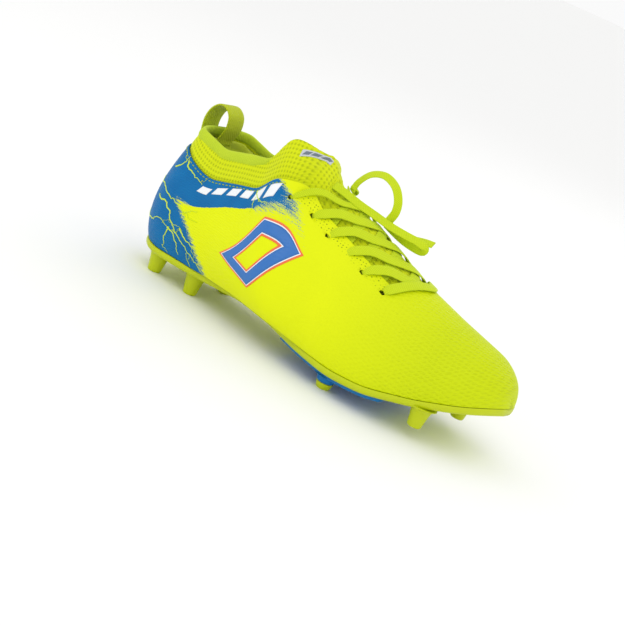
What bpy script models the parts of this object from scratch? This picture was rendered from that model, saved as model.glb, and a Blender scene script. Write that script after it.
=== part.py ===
"""Soccer cleat, right foot: knit sock collar, moulded upper, laces, board, sockliner and studded sole.

X runs from heel to toe, Y towards the inner (medial) side of the foot, Z up.
The upper is one lofted surface.  A station is a distance from the heel along the sole, a height
fraction runs from the sole edge to the mouth rim or the ridge, and a depth goes inwards.
"""
import math

import bmesh
import bpy
import numpy as np
from mathutils import Vector

MM = 0.001
LENGTH = 282.0
ORIGIN_X = 140.15
ORIGIN_Y = -3.05
LATERAL = -1
MEDIAL = 1

SHELL_THICKNESS = 1.2
KNIT_DEPTH = 1.5
KNIT_THICKNESS = 1.8
STIFFENER_DEPTH = 1.5
STIFFENER_THICKNESS = 1.2
TONGUE_DEPTH = 3.2
TONGUE_THICKNESS = 1.5
LINING_DEPTH = 5.2
LINING_THICKNESS = 0.8
GAP = 0.3
MOUTH_FRONT = 131.0
MOUTH_HALF_WIDTH = 30.0
THROAT_FOOT = 212.0

BOARD_INSET = 3.2
BOARD_THICKNESS = 1.4
SOCKLINER_INSET = 8.0
SOCKLINER_THICKNESS = 3.0
PLATE_RIM = 0.9
PLATE_THICKNESS = 5.0
INSERT_THICKNESS = 2.4
INSERT_RANGE = (140.0, 220.0)

STUD_TIP_RADIUS = 4.6
STUD_ROOT_RADIUS = 8.2
STUD_SIDES = 16
HEEL_STUDS = ((24.0, -19.5), (24.0, 19.5), (57.0, -20.5), (57.0, 20.5))
FRONT_STUDS = ((243.0, -27.0), (243.0, 34.0))
MIDDLE_STUDS = ((181.0, -35.0), (176.0, 33.0))
STUD_TIP_HEIGHT = 4.0

LACE_WIDTH = 6.5
TOP_BAR_WIDTH = 4.4
LOOP_WIDTH = 6.0
LACE_THICKNESS = 0.9
OVER_BAR_RISE = 0.3
UNDER_BAR_RISE = -1.6
EYELET_BAR_RISE = 1.6
FIRST_BAR_RISE = 2.6
BAR_END_RISE = -2.35
EYELET_STATIONS = (126.5, 142.0, 157.0, 171.0, 185.0, 200.0)
EYELET_HEIGHT = 0.63
EYELET_RADIUS = 2.0
KNOT_X = 123.0
KNOT_HALF = (3.6, 4.6, 1.8)
# Routes of the free lace, hand-placed from the knot; X from the heel, Y from the centre plane.
STANDING_LOOP = ((129, 5, 111), (129.5, 4.5, 118), (134.5, 4, 125), (143, 3.5, 128), (152.5, 3, 125.5),
                 (158.5, 3, 119), (161, 3, 112), (161.5, 3, 107.6))
LYING_LOOP = ((118, -11, 110.6), (127, -8.5, 110), (138, -5, 108.6), (150, -2.5, 107), (162, -0.5, 105.4),
              (175, 1.5, 104), (184, 3.5, 102.6), (189.5, 5, 99.6), (188, 6, 95.8), (180, 6.5, 95.6),
              (168, 6.5, 98.4), (152, 7, 102.3))
TAIL = ((181, 10.5, 99.6), (186, 10.8, 101), (191, 11, 102), (196, 11, 102.4))

PULL_TAB_WIDTH = 18.0
PULL_TAB_THICKNESS = 1.4
PULL_TAB_AXIS = (17.0, 103.0)
PULL_TAB_ROUTE = ((10.0, 89.5), (10.3, 94), (8.6, 99.5), (8, 107), (10.2, 114), (15, 118.6), (20.5, 118.6),
                  (25.3, 114.2), (26.6, 107), (25, 101), (23.4, 97), (23.2, 93))
FLAP_AXIS = (114.0, 115.0)
FLAP_DEPTH = 3.6

STATIONS = (0, 2.5, 7, 13, 21, 30, 40, 50, 60, 70, 80, 90, 100, 104, 110, 116, 122, 127, 131, 139,
            142.5, 149, 158, 168, 178, 188, 198, 208, 212, 222, 233, 244, 253, 261, 268, 273.5, 277.5, 280.2,
            281.4, 282)
LOW_ROWS = (0, 0.1, 0.28, 0.46, 0.64, 0.82, 1.0)
HIGH_ROWS = (0.3, 0.6, 0.71, 0.725, 0.86, 1.0)
EDGE_ROW = len(LOW_ROWS) - 1
LAST_ROW = EDGE_ROW + len(HIGH_ROWS)
BAND_ROW = EDGE_ROW + 4

# Half widths of the sole edge on each side, before the ends are rounded off.
LATERAL_WIDTH = ((0, 29), (45, 31.5), (70, 33), (98, 39.5), (127, 43), (155, 44), (178, 45.5), (197, 46.3),
                 (220, 43.4), (242, 37.5), (259, 32.5), (282, 26))
MEDIAL_WIDTH = ((0, 29), (45, 31.5), (70, 31), (98, 30.5), (127, 33), (155, 40), (178, 45), (197, 46.3),
                (220, 43.4), (242, 37.5), (259, 32.5), (282, 26))
PLATE_WIDTH = ((0, 29), (45, 31.5), (70, 30), (98, 28.5), (127, 32), (155, 41), (178, 45.3), (197, 46.3),
               (220, 43.4), (242, 37.5), (259, 32.5), (282, 26))
UPPER_WIDTHS = (LATERAL_WIDTH, MEDIAL_WIDTH)
PLATE_WIDTHS = (PLATE_WIDTH, PLATE_WIDTH)
CENTRE_LINE = ((0, 0), (45, 0), (98, -1.5), (127, -2.5), (178, -2.2), (197, -1.2), (220, 0.4), (242, 2.6),
               (259, 4.2), (282, 6.2))
EDGE_HEIGHT = ((0, 20), (25, 18.5), (60, 19.5), (100, 22), (130, 20.5), (160, 18), (185, 16.5), (210, 18),
               (240, 25.2), (262, 32.7), (282, 40.2))
TOP_X = ((0, 15), (20, 24), (50, 46), (75, 66), (95, 79), (104, 83), (112, 87), (120, 94), (130, 103),
         (148, 121), (168, 145), (190, 172), (210, 197), (235, 229), (260, 258), (282, 282))
TOP_HEIGHT = ((0, 104), (20, 103), (50, 98), (75, 104), (95, 107), (104, 116), (112, 127), (120, 128),
              (130, 125.5), (148, 110), (168, 102), (190, 92), (210, 82), (235, 73), (260, 66), (282, 60))
LOW_HANDLE = ((0, 36), (50, 32), (100, 32), (130, 34), (160, 31), (205, 25), (250, 16), (282, 9))
LOW_ANGLE = ((0, 22), (50, 20), (95, 37), (125, 41), (160, 30), (205, 16), (250, 16), (282, 18))
TOP_ANGLE = ((0, 4), (60, 6), (95, 6), (112, 20), (130, 60), (150, 74), (190, 80), (220, 85), (250, 88),
             (282, 90))
TOP_HANDLE = ((0, 0.3), (112, 0.3), (130, 0.25), (150, 0.35), (190, 0.45), (220, 0.5), (282, 0.5))
EDGE_FRACTION = ((0, 0.80), (17, 0.79), (28, 0.74), (40, 0.715), (52, 0.72), (77, 0.75), (97, 0.77),
                 (112, 0.74), (127, 0.71), (150, 0.71), (200, 0.71), (282, 0.71))

COLOURS = {
    "shell": (0.74, 0.88, 0.01, 0.38),
    "knit": (0.66, 0.79, 0.02, 0.85),
    "band": (0.45, 0.68, 0.08, 0.9),
    "lace": (0.48, 0.74, 0.06, 0.8),
    "sole": (0.50, 0.60, 0.02, 0.35),
    "blue": (0.01, 0.17, 0.50, 0.35),
    "lining": (0.50, 0.58, 0.03, 0.9),
    "board": (0.75, 0.72, 0.62, 0.95),
    "stiffener": (0.60, 0.60, 0.55, 0.6),
    "label": (0.80, 0.82, 0.84, 0.8),
    "webbing": (0.50, 0.60, 0.02, 0.85),
}


def clear_scene():
    for obj in list(bpy.data.objects):
        bpy.data.objects.remove(obj, do_unlink=True)


def table(pairs, at):
    """Smooth curve through the table: straight runs averaged over a short window."""
    known = np.array(pairs, float)
    total = np.zeros_like(np.asarray(at, float))
    offsets = np.linspace(-1, 1, 9)
    weights = np.exp(-2.0 * offsets ** 2)
    for offset, weight in zip(offsets, weights):
        total += weight * np.interp(np.asarray(at, float) + 7.0 * offset, known[:, 0], known[:, 1])
    return total / weights.sum()


def round_end(distance, radius):
    """1 beyond radius, falling to 0 at the end on a quarter circle."""
    part = np.clip(1 - np.asarray(distance, float) / radius, 0, 1)
    return np.sqrt(np.maximum(1 - part ** 2, 0))


def plan_rounding(station):
    return round_end(station, 28.0) * round_end(LENGTH - np.asarray(station, float), 24.0)


def mouth_end(station):
    """1 along the mouth, rounding to 0 where its two rims meet at the front."""
    return round_end(MOUTH_FRONT - station, 30.0)


def soft_mouth_end(station):
    """The same, averaged along the foot, so that the side below the rim has no crease."""
    offsets = np.linspace(-10, 10, 9)
    weights = np.exp(-0.02 * offsets ** 2)
    total = sum(weight * mouth_end(station + offset) for offset, weight in zip(offsets, weights))
    return total / weights.sum()


def surface(station, fraction, side):
    """Point of the outer surface, in millimetres; station and fraction are arrays that broadcast."""
    station, fraction = np.broadcast_arrays(np.asarray(station, float), np.asarray(fraction, float))
    width = table(LATERAL_WIDTH if side == LATERAL else MEDIAL_WIDTH, station) * plan_rounding(station)
    centre = table(CENTRE_LINE, station)
    fade = np.clip((station - 110) / 120, 0, 1) ** 1.3
    low_width = width + side * centre * (1 - fade)
    low_height = table(EDGE_HEIGHT, station)
    toe = np.clip((LENGTH - station) / 23.0, 0, 1)
    toe = (1 - (1 - toe) ** 2.4) ** (1 / 2.4)
    height = (table(TOP_HEIGHT, station) - low_height) * toe
    sharp = mouth_end(station)
    top_width = MOUTH_HALF_WIDTH * round_end(station, 26.0) * (
        sharp + (soft_mouth_end(station) - sharp) * (1 - fraction ** 6))
    low_angle = np.radians(table(LOW_ANGLE, station))
    top_angle = np.radians(table(TOP_ANGLE, station))
    heel = round_end(station, 22.0)
    reach = np.hypot(height * np.cos(top_angle), low_width * np.sin(top_angle) * 1.3)
    reach = reach * table(TOP_HANDLE, station)
    low_reach = table(LOW_HANDLE, station) * toe
    q1 = low_width + low_reach * np.sin(low_angle) * heel * toe
    z1 = low_height + low_reach * np.cos(low_angle)
    q2 = top_width + reach * np.sin(top_angle) * heel
    z2 = low_height + height - reach * np.cos(top_angle)
    b0 = (1 - fraction) ** 3
    b1 = 3 * fraction * (1 - fraction) ** 2
    b2 = 3 * fraction ** 2 * (1 - fraction)
    b3 = fraction ** 3
    out = b0 * low_width + b1 * q1 + b2 * q2 + b3 * top_width
    z = b0 * low_height + b1 * z1 + b2 * z2 + b3 * (low_height + height)
    rise = np.clip((z - low_height) / np.maximum(height, 0.001), 0, 1)
    x = station + (table(TOP_X, station) - station) * rise
    heel_fade = np.clip(1 - station / 60.0, 0, 1) ** 2
    x = x - 8.7 * np.sin(math.pi * rise ** 0.75) * heel_fade + heel_shift(station) * (1 - rise)
    y = centre * fade + side * out
    return np.stack([x - ORIGIN_X, y - ORIGIN_Y, z], axis=-1)


def surface_normal(station, fraction, side):
    """Outward unit normal, from small steps that stay inside the surface."""
    station = np.clip(np.asarray(station, float), 0.8, LENGTH - 1.2)
    fraction = np.clip(np.asarray(fraction, float), 0.01, 0.99)
    along = surface(station + 0.6, fraction, side) - surface(station - 0.6, fraction, side)
    up = surface(station, fraction + 0.008, side) - surface(station, fraction - 0.008, side)
    normal = np.cross(along, up) * (-side)
    return normal / np.maximum(np.linalg.norm(normal, axis=-1, keepdims=True), 1e-9)


def at_depth(station, fraction, side, depth):
    """Surface point moved inwards; on the ridge and the heel seam both sides share one direction."""
    point = surface(station, fraction, side)
    normal = surface_normal(station, fraction, side)
    station, fraction = np.broadcast_arrays(np.asarray(station, float), np.asarray(fraction, float))
    seam = ((fraction > 0.995) & (station > MOUTH_FRONT - 0.1)) | (station < 0.01) | (station > LENGTH - 0.6)
    shared = normal + surface_normal(station, fraction, -side)
    normal = np.where(seam[..., None], shared, normal)
    normal = normal / np.maximum(np.linalg.norm(normal, axis=-1, keepdims=True), 1e-9)
    return point - normal * np.asarray(depth, float)[..., None]


def row_fraction(row, station):
    edge = table(EDGE_FRACTION, station)
    if row <= EDGE_ROW:
        return edge * LOW_ROWS[row]
    return edge + (1 - edge) * HIGH_ROWS[row - EDGE_ROW - 1]


def new_object(name, vertices, faces, colour):
    mesh = bpy.data.meshes.new(name)
    mesh.from_pydata([tuple(point * MM) for point in vertices], [], faces)
    obj = bpy.data.objects.new(name, mesh)
    PARTS.objects.link(obj)
    tidy = bmesh.new()
    tidy.from_mesh(mesh)
    bmesh.ops.remove_doubles(tidy, verts=tidy.verts, dist=0.00002)
    bmesh.ops.dissolve_degenerate(tidy, edges=tidy.edges, dist=0.000001)
    bmesh.ops.recalc_face_normals(tidy, faces=tidy.faces)
    tidy.to_mesh(mesh)
    tidy.free()
    mesh.shade_smooth()
    mesh.set_sharp_from_angle(angle=math.radians(40))
    mesh.materials.append(material(colour))
    return obj


def material(name):
    found = bpy.data.materials.get(name)
    if found:
        return found
    red, green, blue, roughness = COLOURS[name]
    made = bpy.data.materials.new(name)
    made.use_nodes = True
    shader = made.node_tree.nodes["Principled BSDF"]
    shader.inputs["Base Color"].default_value = (red, green, blue, 1)
    shader.inputs["Roughness"].default_value = roughness
    shader.inputs["Metallic"].default_value = 0.0
    return made


def skin_pair(name, columns, rows, depth, thickness, colour, keep=None):
    """Two parallel skins of the lofted surface, joined round their border.

    columns are (station, side) pairs, rows are row numbers, and keep(column, row) says which
    quads exist.  The two skins share their facets' directions, so layers never cross.
    """
    count = len(rows)
    points = []
    for level in (depth, depth + thickness):
        for station, side in columns:
            fractions = np.array([float(row_fraction(row, station)) for row in rows])
            points.append(at_depth(np.full(count, float(station)), fractions, side, np.full(count, level)))
    points = np.concatenate(points)
    half = len(points) // 2
    quads = []
    for i in range(len(columns) - 1):
        for j in range(count - 1):
            if keep is None or keep(columns[i], columns[i + 1], rows[j]):
                quads.append((i * count + j, (i + 1) * count + j, (i + 1) * count + j + 1, i * count + j + 1))
    welded = weld_map(points[:half])
    border = border_edges(quads, welded)
    faces = list(quads)
    faces += [tuple(index + half for index in reversed(quad)) for quad in quads]
    faces += [(b, a, a + half, b + half) for a, b in border]
    used = sorted({index for face in faces for index in face})
    renumber = {old: new for new, old in enumerate(used)}
    faces = [tuple(renumber[index] for index in face) for face in faces]
    return new_object(name, [points[index] for index in used], faces, colour)


def weld_map(points):
    """Number of the first point at the same place, for each point."""
    first = {}
    return [first.setdefault(tuple(np.round(point, 2)), index) for index, point in enumerate(points)]


def border_edges(quads, welded):
    count = {}
    for quad in quads:
        for a, b in zip(quad, quad[1:] + quad[:1]):
            key = frozenset((welded[a], welded[b]))
            if len(key) == 2:
                count.setdefault(key, []).append((a, b))
    return [pairs[0] for pairs in count.values() if len(pairs) == 1]


def both_sides(first, last):
    """Columns from the front of the lateral side round the heel to the front of the medial side."""
    chosen = [station for station in STATIONS if first <= station <= last]
    lateral = [(station, LATERAL) for station in reversed(chosen)]
    medial = [(station, MEDIAL) for station in chosen]
    return lateral + medial if first > 0 else lateral + medial[1:]


def over_the_top(first, last):
    return [station for station in STATIONS if first <= station <= last]


def bridge_skin(name, stations, row_from, depth, thickness, colour, row_to=LAST_ROW):
    """A skin that runs from the lateral side over the ridge to the medial side."""
    path = [(row, LATERAL) for row in range(row_from, row_to + 1)]
    path += [(row, MEDIAL) for row in range(row_to - 1, row_from - 1, -1)]
    count = len(path)
    points = []
    for level in (depth, depth + thickness):
        for station in stations:
            for row, side in path:
                fraction = float(row_fraction(row, station))
                points.append(at_depth(np.array([float(station)]), np.array([fraction]), side,
                                       np.array([level]))[0])
    points = np.array(points)
    half = len(points) // 2
    quads = []
    for i in range(len(stations) - 1):
        for j in range(count - 1):
            quads.append((i * count + j, (i + 1) * count + j, (i + 1) * count + j + 1, i * count + j + 1))
    border = border_edges(quads, list(range(half)))
    faces = list(quads)
    faces += [tuple(index + half for index in reversed(quad)) for quad in quads]
    faces += [(b, a, a + half, b + half) for a, b in border]
    return new_object(name, points, faces, colour)


def build_shell():
    """Moulded outer from heel to toe, closed over the toe and open along the throat."""
    columns = both_sides(0, LENGTH)
    rows = list(range(LAST_ROW + 1))

    def keep(column, neighbour, row):
        return row < EDGE_ROW or min(column[0], neighbour[0]) >= THROAT_FOOT

    shell = skin_pair("upper_shell", columns, rows, 0.0, SHELL_THICKNESS, "shell", keep)
    for side, label in ((LATERAL, "lateral"), (MEDIAL, "medial")):
        for number, station in enumerate(EYELET_STATIONS):
            centre = at_depth(np.array([station]), np.array([EYELET_HEIGHT]), side, np.array([0.6]))[0]
            normal = surface_normal(np.array([station]), np.array([EYELET_HEIGHT]), side)[0]
            cutter = cylinder_along(f"eyelet_cutter_{label}_{number + 1}", centre, normal, EYELET_RADIUS, 6.0)
            hole = shell.modifiers.new(f"eyelet_{label}_{number + 1}", "BOOLEAN")
            hole.operation = "DIFFERENCE"
            hole.solver = "EXACT"
            hole.object = cutter
    return shell


def cylinder_along(name, centre, direction, radius, depth):
    work = bmesh.new()
    bmesh.ops.create_cone(work, cap_ends=True, segments=10, radius1=radius * MM, radius2=radius * MM,
                          depth=depth * MM)
    mesh = bpy.data.meshes.new(name)
    work.to_mesh(mesh)
    work.free()
    cutter = bpy.data.objects.new(name, mesh)
    CUTTERS.objects.link(cutter)
    cutter.location = [value * MM for value in centre]
    cutter.rotation_mode = "QUATERNION"
    cutter.rotation_quaternion = track(direction)
    cutter.hide_render = True
    cutter.display_type = "WIRE"
    return cutter


def track(direction):
    return Vector(direction).to_track_quat("Z", "Y")


def build_layers():
    """Stiffeners, knit collar, tongue and lining: each a skin at its own depth under the shell."""
    rows = list(range(1, EDGE_ROW))
    skin_pair("heel_counter", both_sides(0, 70), rows[:4], STIFFENER_DEPTH, STIFFENER_THICKNESS, "stiffener")
    bridge_skin("toe_puff", over_the_top(244, 277.5), 1, STIFFENER_DEPTH, STIFFENER_THICKNESS, "stiffener")
    rows = list(range(EDGE_ROW - 1, BAND_ROW))
    skin_pair("knit_collar", both_sides(0, 100), rows, KNIT_DEPTH, KNIT_THICKNESS, "knit")
    rows = list(range(BAND_ROW, LAST_ROW + 1))
    skin_pair("collar_band", both_sides(0, 100), rows, KNIT_DEPTH - 0.6, KNIT_THICKNESS + 1.2, "band")
    rows = list(range(EDGE_ROW, BAND_ROW - 1))
    skin_pair("collar_padding", both_sides(7, 70), rows, KNIT_DEPTH + KNIT_THICKNESS + 0.7, 2.4, "lining")
    bridge_skin("tongue_lower", over_the_top(142.5, 212), EDGE_ROW - 1, TONGUE_DEPTH, TONGUE_THICKNESS, "knit")
    rows = list(range(1, EDGE_ROW - 1))
    skin_pair("quarter_lining", both_sides(7, 198), rows, LINING_DEPTH, LINING_THICKNESS, "lining")
    bridge_skin("vamp_lining", over_the_top(208, 268), 1, LINING_DEPTH, LINING_THICKNESS, "lining")
    for side, label in ((LATERAL, "lateral"), (MEDIAL, "medial")):
        columns = [(station, side) for station in over_the_top(104, 139)]
        rows = list(range(EDGE_ROW - 1, EDGE_ROW + 1))
        skin_pair(f"throat_gusset_{label}", columns, rows, FLAP_DEPTH, TONGUE_THICKNESS, "knit")


def build_flap():
    """Tongue flap: the free upper part of the tongue, turning on a cross axis at its foot."""
    flap = flap_skin("tongue_flap", over_the_top(104, 139), EDGE_ROW + 1, FLAP_DEPTH, TONGUE_THICKNESS, "knit")
    label_columns = [(station, LATERAL) for station in over_the_top(116, 131)]
    label = skin_pair("tongue_label", label_columns, [BAND_ROW - 2, BAND_ROW - 1], FLAP_DEPTH - 0.9, 0.5, "label")
    for piece in (flap, label):
        move_origin(piece, (FLAP_AXIS[0] - ORIGIN_X, -ORIGIN_Y, FLAP_AXIS[1]))


def flap_skin(name, stations, row_from, depth, thickness, colour):
    """Two sides of the flap joined along the ridge, from where the mouth closes."""
    columns = [(station, LATERAL) for station in stations]
    columns += [(station, MEDIAL) for station in reversed(stations)]
    rows = list(range(row_from, LAST_ROW + 1))
    count = len(rows)
    points = []
    for level in (depth, depth + thickness):
        for station, side in columns:
            fractions = np.array([float(row_fraction(row, station)) for row in rows])
            points.append(at_depth(np.full(count, float(station)), fractions, side, np.full(count, level)))
    points = np.concatenate(points)
    half = len(points) // 2
    size = len(stations)
    quads = []
    for i in list(range(size - 1)) + list(range(size, 2 * size - 1)):
        for j in range(count - 1):
            quads.append((i * count + j, (i + 1) * count + j, (i + 1) * count + j + 1, i * count + j + 1))
    welded = weld_map(points[:half])
    border = border_edges(quads, welded)
    faces = list(quads)
    faces += [tuple(index + half for index in reversed(quad)) for quad in quads]
    faces += [(b, a, a + half, b + half) for a, b in border]
    return new_object(name, points, faces, colour)


def move_origin(obj, place):
    """Put the object's origin at a point given in millimetres, leaving its shape where it is."""
    shift = np.array(place) * MM
    for vertex in obj.data.vertices:
        vertex.co = [value - offset for value, offset in zip(vertex.co, shift)]
    obj.location = shift


def heel_shift(station):
    """The heel's lower edge lies a little ahead of its station."""
    return 3 * np.clip(1 - station / 60.0, 0, 1) ** 2


def slab(name, first, last, count, inset, widths, top_offset, thickness, colour, bevel=0.0):
    """A flat layer that follows the sole's curve; widths are the lateral and the medial table."""
    stations = first + (last - first) * (1 - np.cos(np.linspace(0, math.pi, count))) / 2
    rounding = plan_rounding(stations)
    centre = table(CENTRE_LINE, stations)
    lateral = np.maximum(table(widths[0], stations) * rounding - inset, 0.6)
    medial = np.maximum(table(widths[1], stations) * rounding - inset, 0.6)
    tops = table(EDGE_HEIGHT, stations) + top_offset
    points = []
    faces = []
    ring = 6 if bevel else 4
    for x, mid, left, right, top in zip(stations + heel_shift(stations), centre, lateral, medial, tops):
        low = top - thickness
        cut = min(bevel, left * 0.6, right * 0.6)
        section = [(-left, top), (right, top)]
        if bevel:
            section += [(right, low + cut * 0.7), (right - cut, low), (cut - left, low), (-left, low + cut * 0.7)]
        else:
            section += [(right, low), (-left, low)]
        points += [np.array([x - ORIGIN_X, mid + y - ORIGIN_Y, z]) for y, z in section]
    for i in range(count - 1):
        for j in range(ring):
            k = (j + 1) % ring
            faces.append((i * ring + j, i * ring + k, (i + 1) * ring + k, (i + 1) * ring + j))
    faces.append(tuple(range(ring)))
    faces.append(tuple((count - 1) * ring + j for j in reversed(range(ring))))
    return new_object(name, points, faces, colour)


def edge_height(station):
    return float(table(EDGE_HEIGHT, np.array([station]))[0])


def stud(name, station, offset, low, high, colour, tip_radius, root_radius):
    """Tapered round stud standing on its tip."""
    work = bmesh.new()
    bmesh.ops.create_cone(work, cap_ends=True, segments=STUD_SIDES, radius1=tip_radius * MM,
                          radius2=root_radius * MM, depth=(high - low) * MM)
    bmesh.ops.translate(work, verts=work.verts,
                        vec=((station - ORIGIN_X) * MM, (offset - ORIGIN_Y) * MM, (high + low) / 2 * MM))
    mesh = bpy.data.meshes.new(name)
    work.to_mesh(mesh)
    work.free()
    obj = bpy.data.objects.new(name, mesh)
    obj.data.materials.append(material(colour))
    return obj


def join_studs(base, studs):
    for number, post in enumerate(studs):
        CUTTERS.objects.link(post)
        post.hide_render = True
        post.display_type = "WIRE"
        union = base.modifiers.new(f"stud_{number + 1}", "BOOLEAN")
        union.operation = "UNION"
        union.solver = "EXACT"
        union.object = post


def stud_ground(station):
    """Height of a stud's tip: the studs ahead of the ball rise with the toe."""
    lowest = edge_height(185.0)
    return max(0.0, edge_height(station) - lowest - 1.5) if station > 200 else 0.0


def build_sole():
    """Plate with its yellow studs, blue forefoot layer with its own studs, and their tips."""
    plate = slab("outsole_plate", 0.6, LENGTH - 0.6, 34, -PLATE_RIM, PLATE_WIDTHS, -GAP, PLATE_THICKNESS,
                 "sole", bevel=3.5)
    posts = []
    for number, (station, offset) in enumerate(HEEL_STUDS + FRONT_STUDS):
        low = stud_ground(station)
        high = edge_height(station) - PLATE_THICKNESS + 1.5
        posts.append(stud(f"yellow_stud_{number + 1}", station, offset, low, high, "sole",
                          STUD_TIP_RADIUS, STUD_ROOT_RADIUS))
    join_studs(plate, posts)
    under = -GAP - PLATE_THICKNESS - GAP
    insert = slab("forefoot_insert", INSERT_RANGE[0], INSERT_RANGE[1], 16, 4.2, PLATE_WIDTHS, under,
                  INSERT_THICKNESS, "blue", bevel=1.2)
    posts = []
    for number, (station, offset) in enumerate(MIDDLE_STUDS):
        high = edge_height(station) + under - INSERT_THICKNESS + 1.0
        posts.append(stud(f"blue_stud_{number + 1}", station, offset, STUD_TIP_HEIGHT + GAP, high, "blue",
                          STUD_TIP_RADIUS + 1.1, STUD_ROOT_RADIUS))
        tip = stud(f"stud_tip_{('lateral', 'medial')[number]}", station, offset, 0.0, STUD_TIP_HEIGHT,
                   "sole", STUD_TIP_RADIUS, STUD_TIP_RADIUS + 1.0)
        PARTS.objects.link(tip)
    join_studs(insert, posts)


def build_inside():
    """Lasting board on the plate, and the removable sockliner lying on the board."""
    slab("lasting_board", 9.0, LENGTH - 9.0, 26, BOARD_INSET, UPPER_WIDTHS, GAP + BOARD_THICKNESS,
         BOARD_THICKNESS, "board")
    top = GAP + BOARD_THICKNESS + GAP + SOCKLINER_THICKNESS
    liner = slab("sockliner", 12.0, 262.0, 26, SOCKLINER_INSET, UPPER_WIDTHS, top, SOCKLINER_THICKNESS, "lining")
    hinge = (262.0 - ORIGIN_X, -ORIGIN_Y, edge_height(262.0) + top - SOCKLINER_THICKNESS)
    move_origin(liner, hinge)


def strap(name, centres, normals, width, thickness, colour):
    """Flat band swept along a path, its broad face square to the given normals."""
    centres = np.array(centres)
    normals = np.array(normals)
    tangents = np.gradient(centres, axis=0)
    tangents /= np.linalg.norm(tangents, axis=1, keepdims=True)
    across = np.cross(tangents, normals)
    across /= np.linalg.norm(across, axis=1, keepdims=True)
    normals = np.cross(across, tangents)
    points = []
    faces = []
    for centre, wide, thick in zip(centres, across, normals):
        for a, b in ((-1, -1), (1, -1), (1, 1), (-1, 1)):
            points.append(centre + wide * a * width / 2 + thick * b * thickness / 2)
    for i in range(len(centres) - 1):
        for j in range(4):
            k = (j + 1) % 4
            faces.append((4 * i + j, 4 * i + k, 4 * i + 4 + k, 4 * i + 4 + j))
    faces.append((0, 1, 2, 3))
    last = 4 * (len(centres) - 1)
    faces.append((last + 3, last + 2, last + 1, last))
    return new_object(name, points, faces, colour)


def station_at(x, fraction, side):
    """Station whose section passes through x at the given height fraction."""
    stations = np.linspace(60, 260, 201)
    along = surface(stations, np.full(201, fraction), side)[:, 0] + ORIGIN_X
    return float(np.interp(x, along, stations))


def on_upper(x, fraction, side, rise):
    """Point and normal of the upper at x, raised above the surface."""
    station = np.array([station_at(x, fraction, side)])
    point = at_depth(station, np.array([fraction]), side, np.array([-rise]))[0]
    return point, surface_normal(station, np.array([fraction]), side)[0]


def eyelet_x(number, side):
    place = surface(np.array([EYELET_STATIONS[number]]), np.array([EYELET_HEIGHT]), side)[0]
    return place[0] + ORIGIN_X


def lace_path(start, end, side, over):
    """Path of a bar from an eyelet on one side to under the opposite edge of the throat.

    start and end are eyelet numbers.  The bar leaves its eyelet on the outside, drops over
    the edge of the throat, and an over bar rides above an under bar at the ridge.
    """
    ridge_rise = OVER_BAR_RISE if over else UNDER_BAR_RISE
    start_rise = FIRST_BAR_RISE if start == 0 else EYELET_BAR_RISE
    rise_at = (0.0, 0.23, 0.31, 0.69, 0.76, 1.0)
    rises = (start_rise, start_rise, ridge_rise, ridge_rise, UNDER_BAR_RISE, BAR_END_RISE)
    first = eyelet_x(start, side)
    last = eyelet_x(end, -side)
    span = 1 - EYELET_HEIGHT
    path = []
    for amount in np.linspace(0, 1, 19):
        climb = amount * 2 * span * 0.93
        on_start = climb <= span
        fraction = EYELET_HEIGHT + climb if on_start else 2 - EYELET_HEIGHT - climb
        x = first + (last - first) * amount
        rise = float(np.interp(amount, rise_at, rises))
        path.append(on_upper(x, min(fraction, 0.995), side if on_start else -side, rise))
    return [point for point, normal in path], [normal for point, normal in path]


def build_lacing():
    """Criss-cross bars between the eyelets, with a straight bar at the foot of the throat."""
    for number in range(len(EYELET_STATIONS) - 1):
        width = TOP_BAR_WIDTH if number == 0 else LACE_WIDTH
        centres, normals = lace_path(number, number + 1, MEDIAL, False)
        strap(f"lace_bar_under_{number + 1}", centres, normals, width, LACE_THICKNESS, "lace")
        centres, normals = lace_path(number, number + 1, LATERAL, True)
        strap(f"lace_bar_over_{number + 1}", centres, normals, width, LACE_THICKNESS, "lace")
    foot_bar()


def foot_bar():
    """Bar straight across the foot of the throat, on top of the bars that end there."""
    last = len(EYELET_STATIONS) - 1
    x = eyelet_x(last, LATERAL) + 2.8
    fractions = np.linspace(EYELET_HEIGHT + 0.02, 0.995, 9)
    path = [on_upper(x, fraction, LATERAL, EYELET_BAR_RISE) for fraction in fractions]
    path += [on_upper(x, fraction, MEDIAL, EYELET_BAR_RISE) for fraction in reversed(fractions[:-1])]
    centres = [point for point, normal in path]
    strap("lace_bar_foot", centres, [normal for point, normal in path], LACE_WIDTH, LACE_THICKNESS, "lace")


def smooth_path(points, count):
    """Evenly spaced points of a smooth curve through the given ones."""
    points = np.array(points, float)
    padded = np.vstack([2 * points[0] - points[1], points, 2 * points[-1] - points[-2]])
    dense = []
    for i in range(1, len(padded) - 2):
        a, b, c, d = padded[i - 1], padded[i], padded[i + 1], padded[i + 2]
        for step in np.linspace(0, 1, 20, endpoint=False):
            dense.append(0.5 * (2 * b + (c - a) * step + (2 * a - 5 * b + 4 * c - d) * step ** 2
                                + (3 * b - a - 3 * c + d) * step ** 3))
    dense = np.array(dense + [padded[-2]])
    travelled = np.concatenate([[0], np.cumsum(np.linalg.norm(np.diff(dense, axis=0), axis=1))])
    wanted = np.linspace(0, travelled[-1], count)
    return np.stack([np.interp(wanted, travelled, dense[:, i]) for i in range(3)], axis=1)


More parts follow.
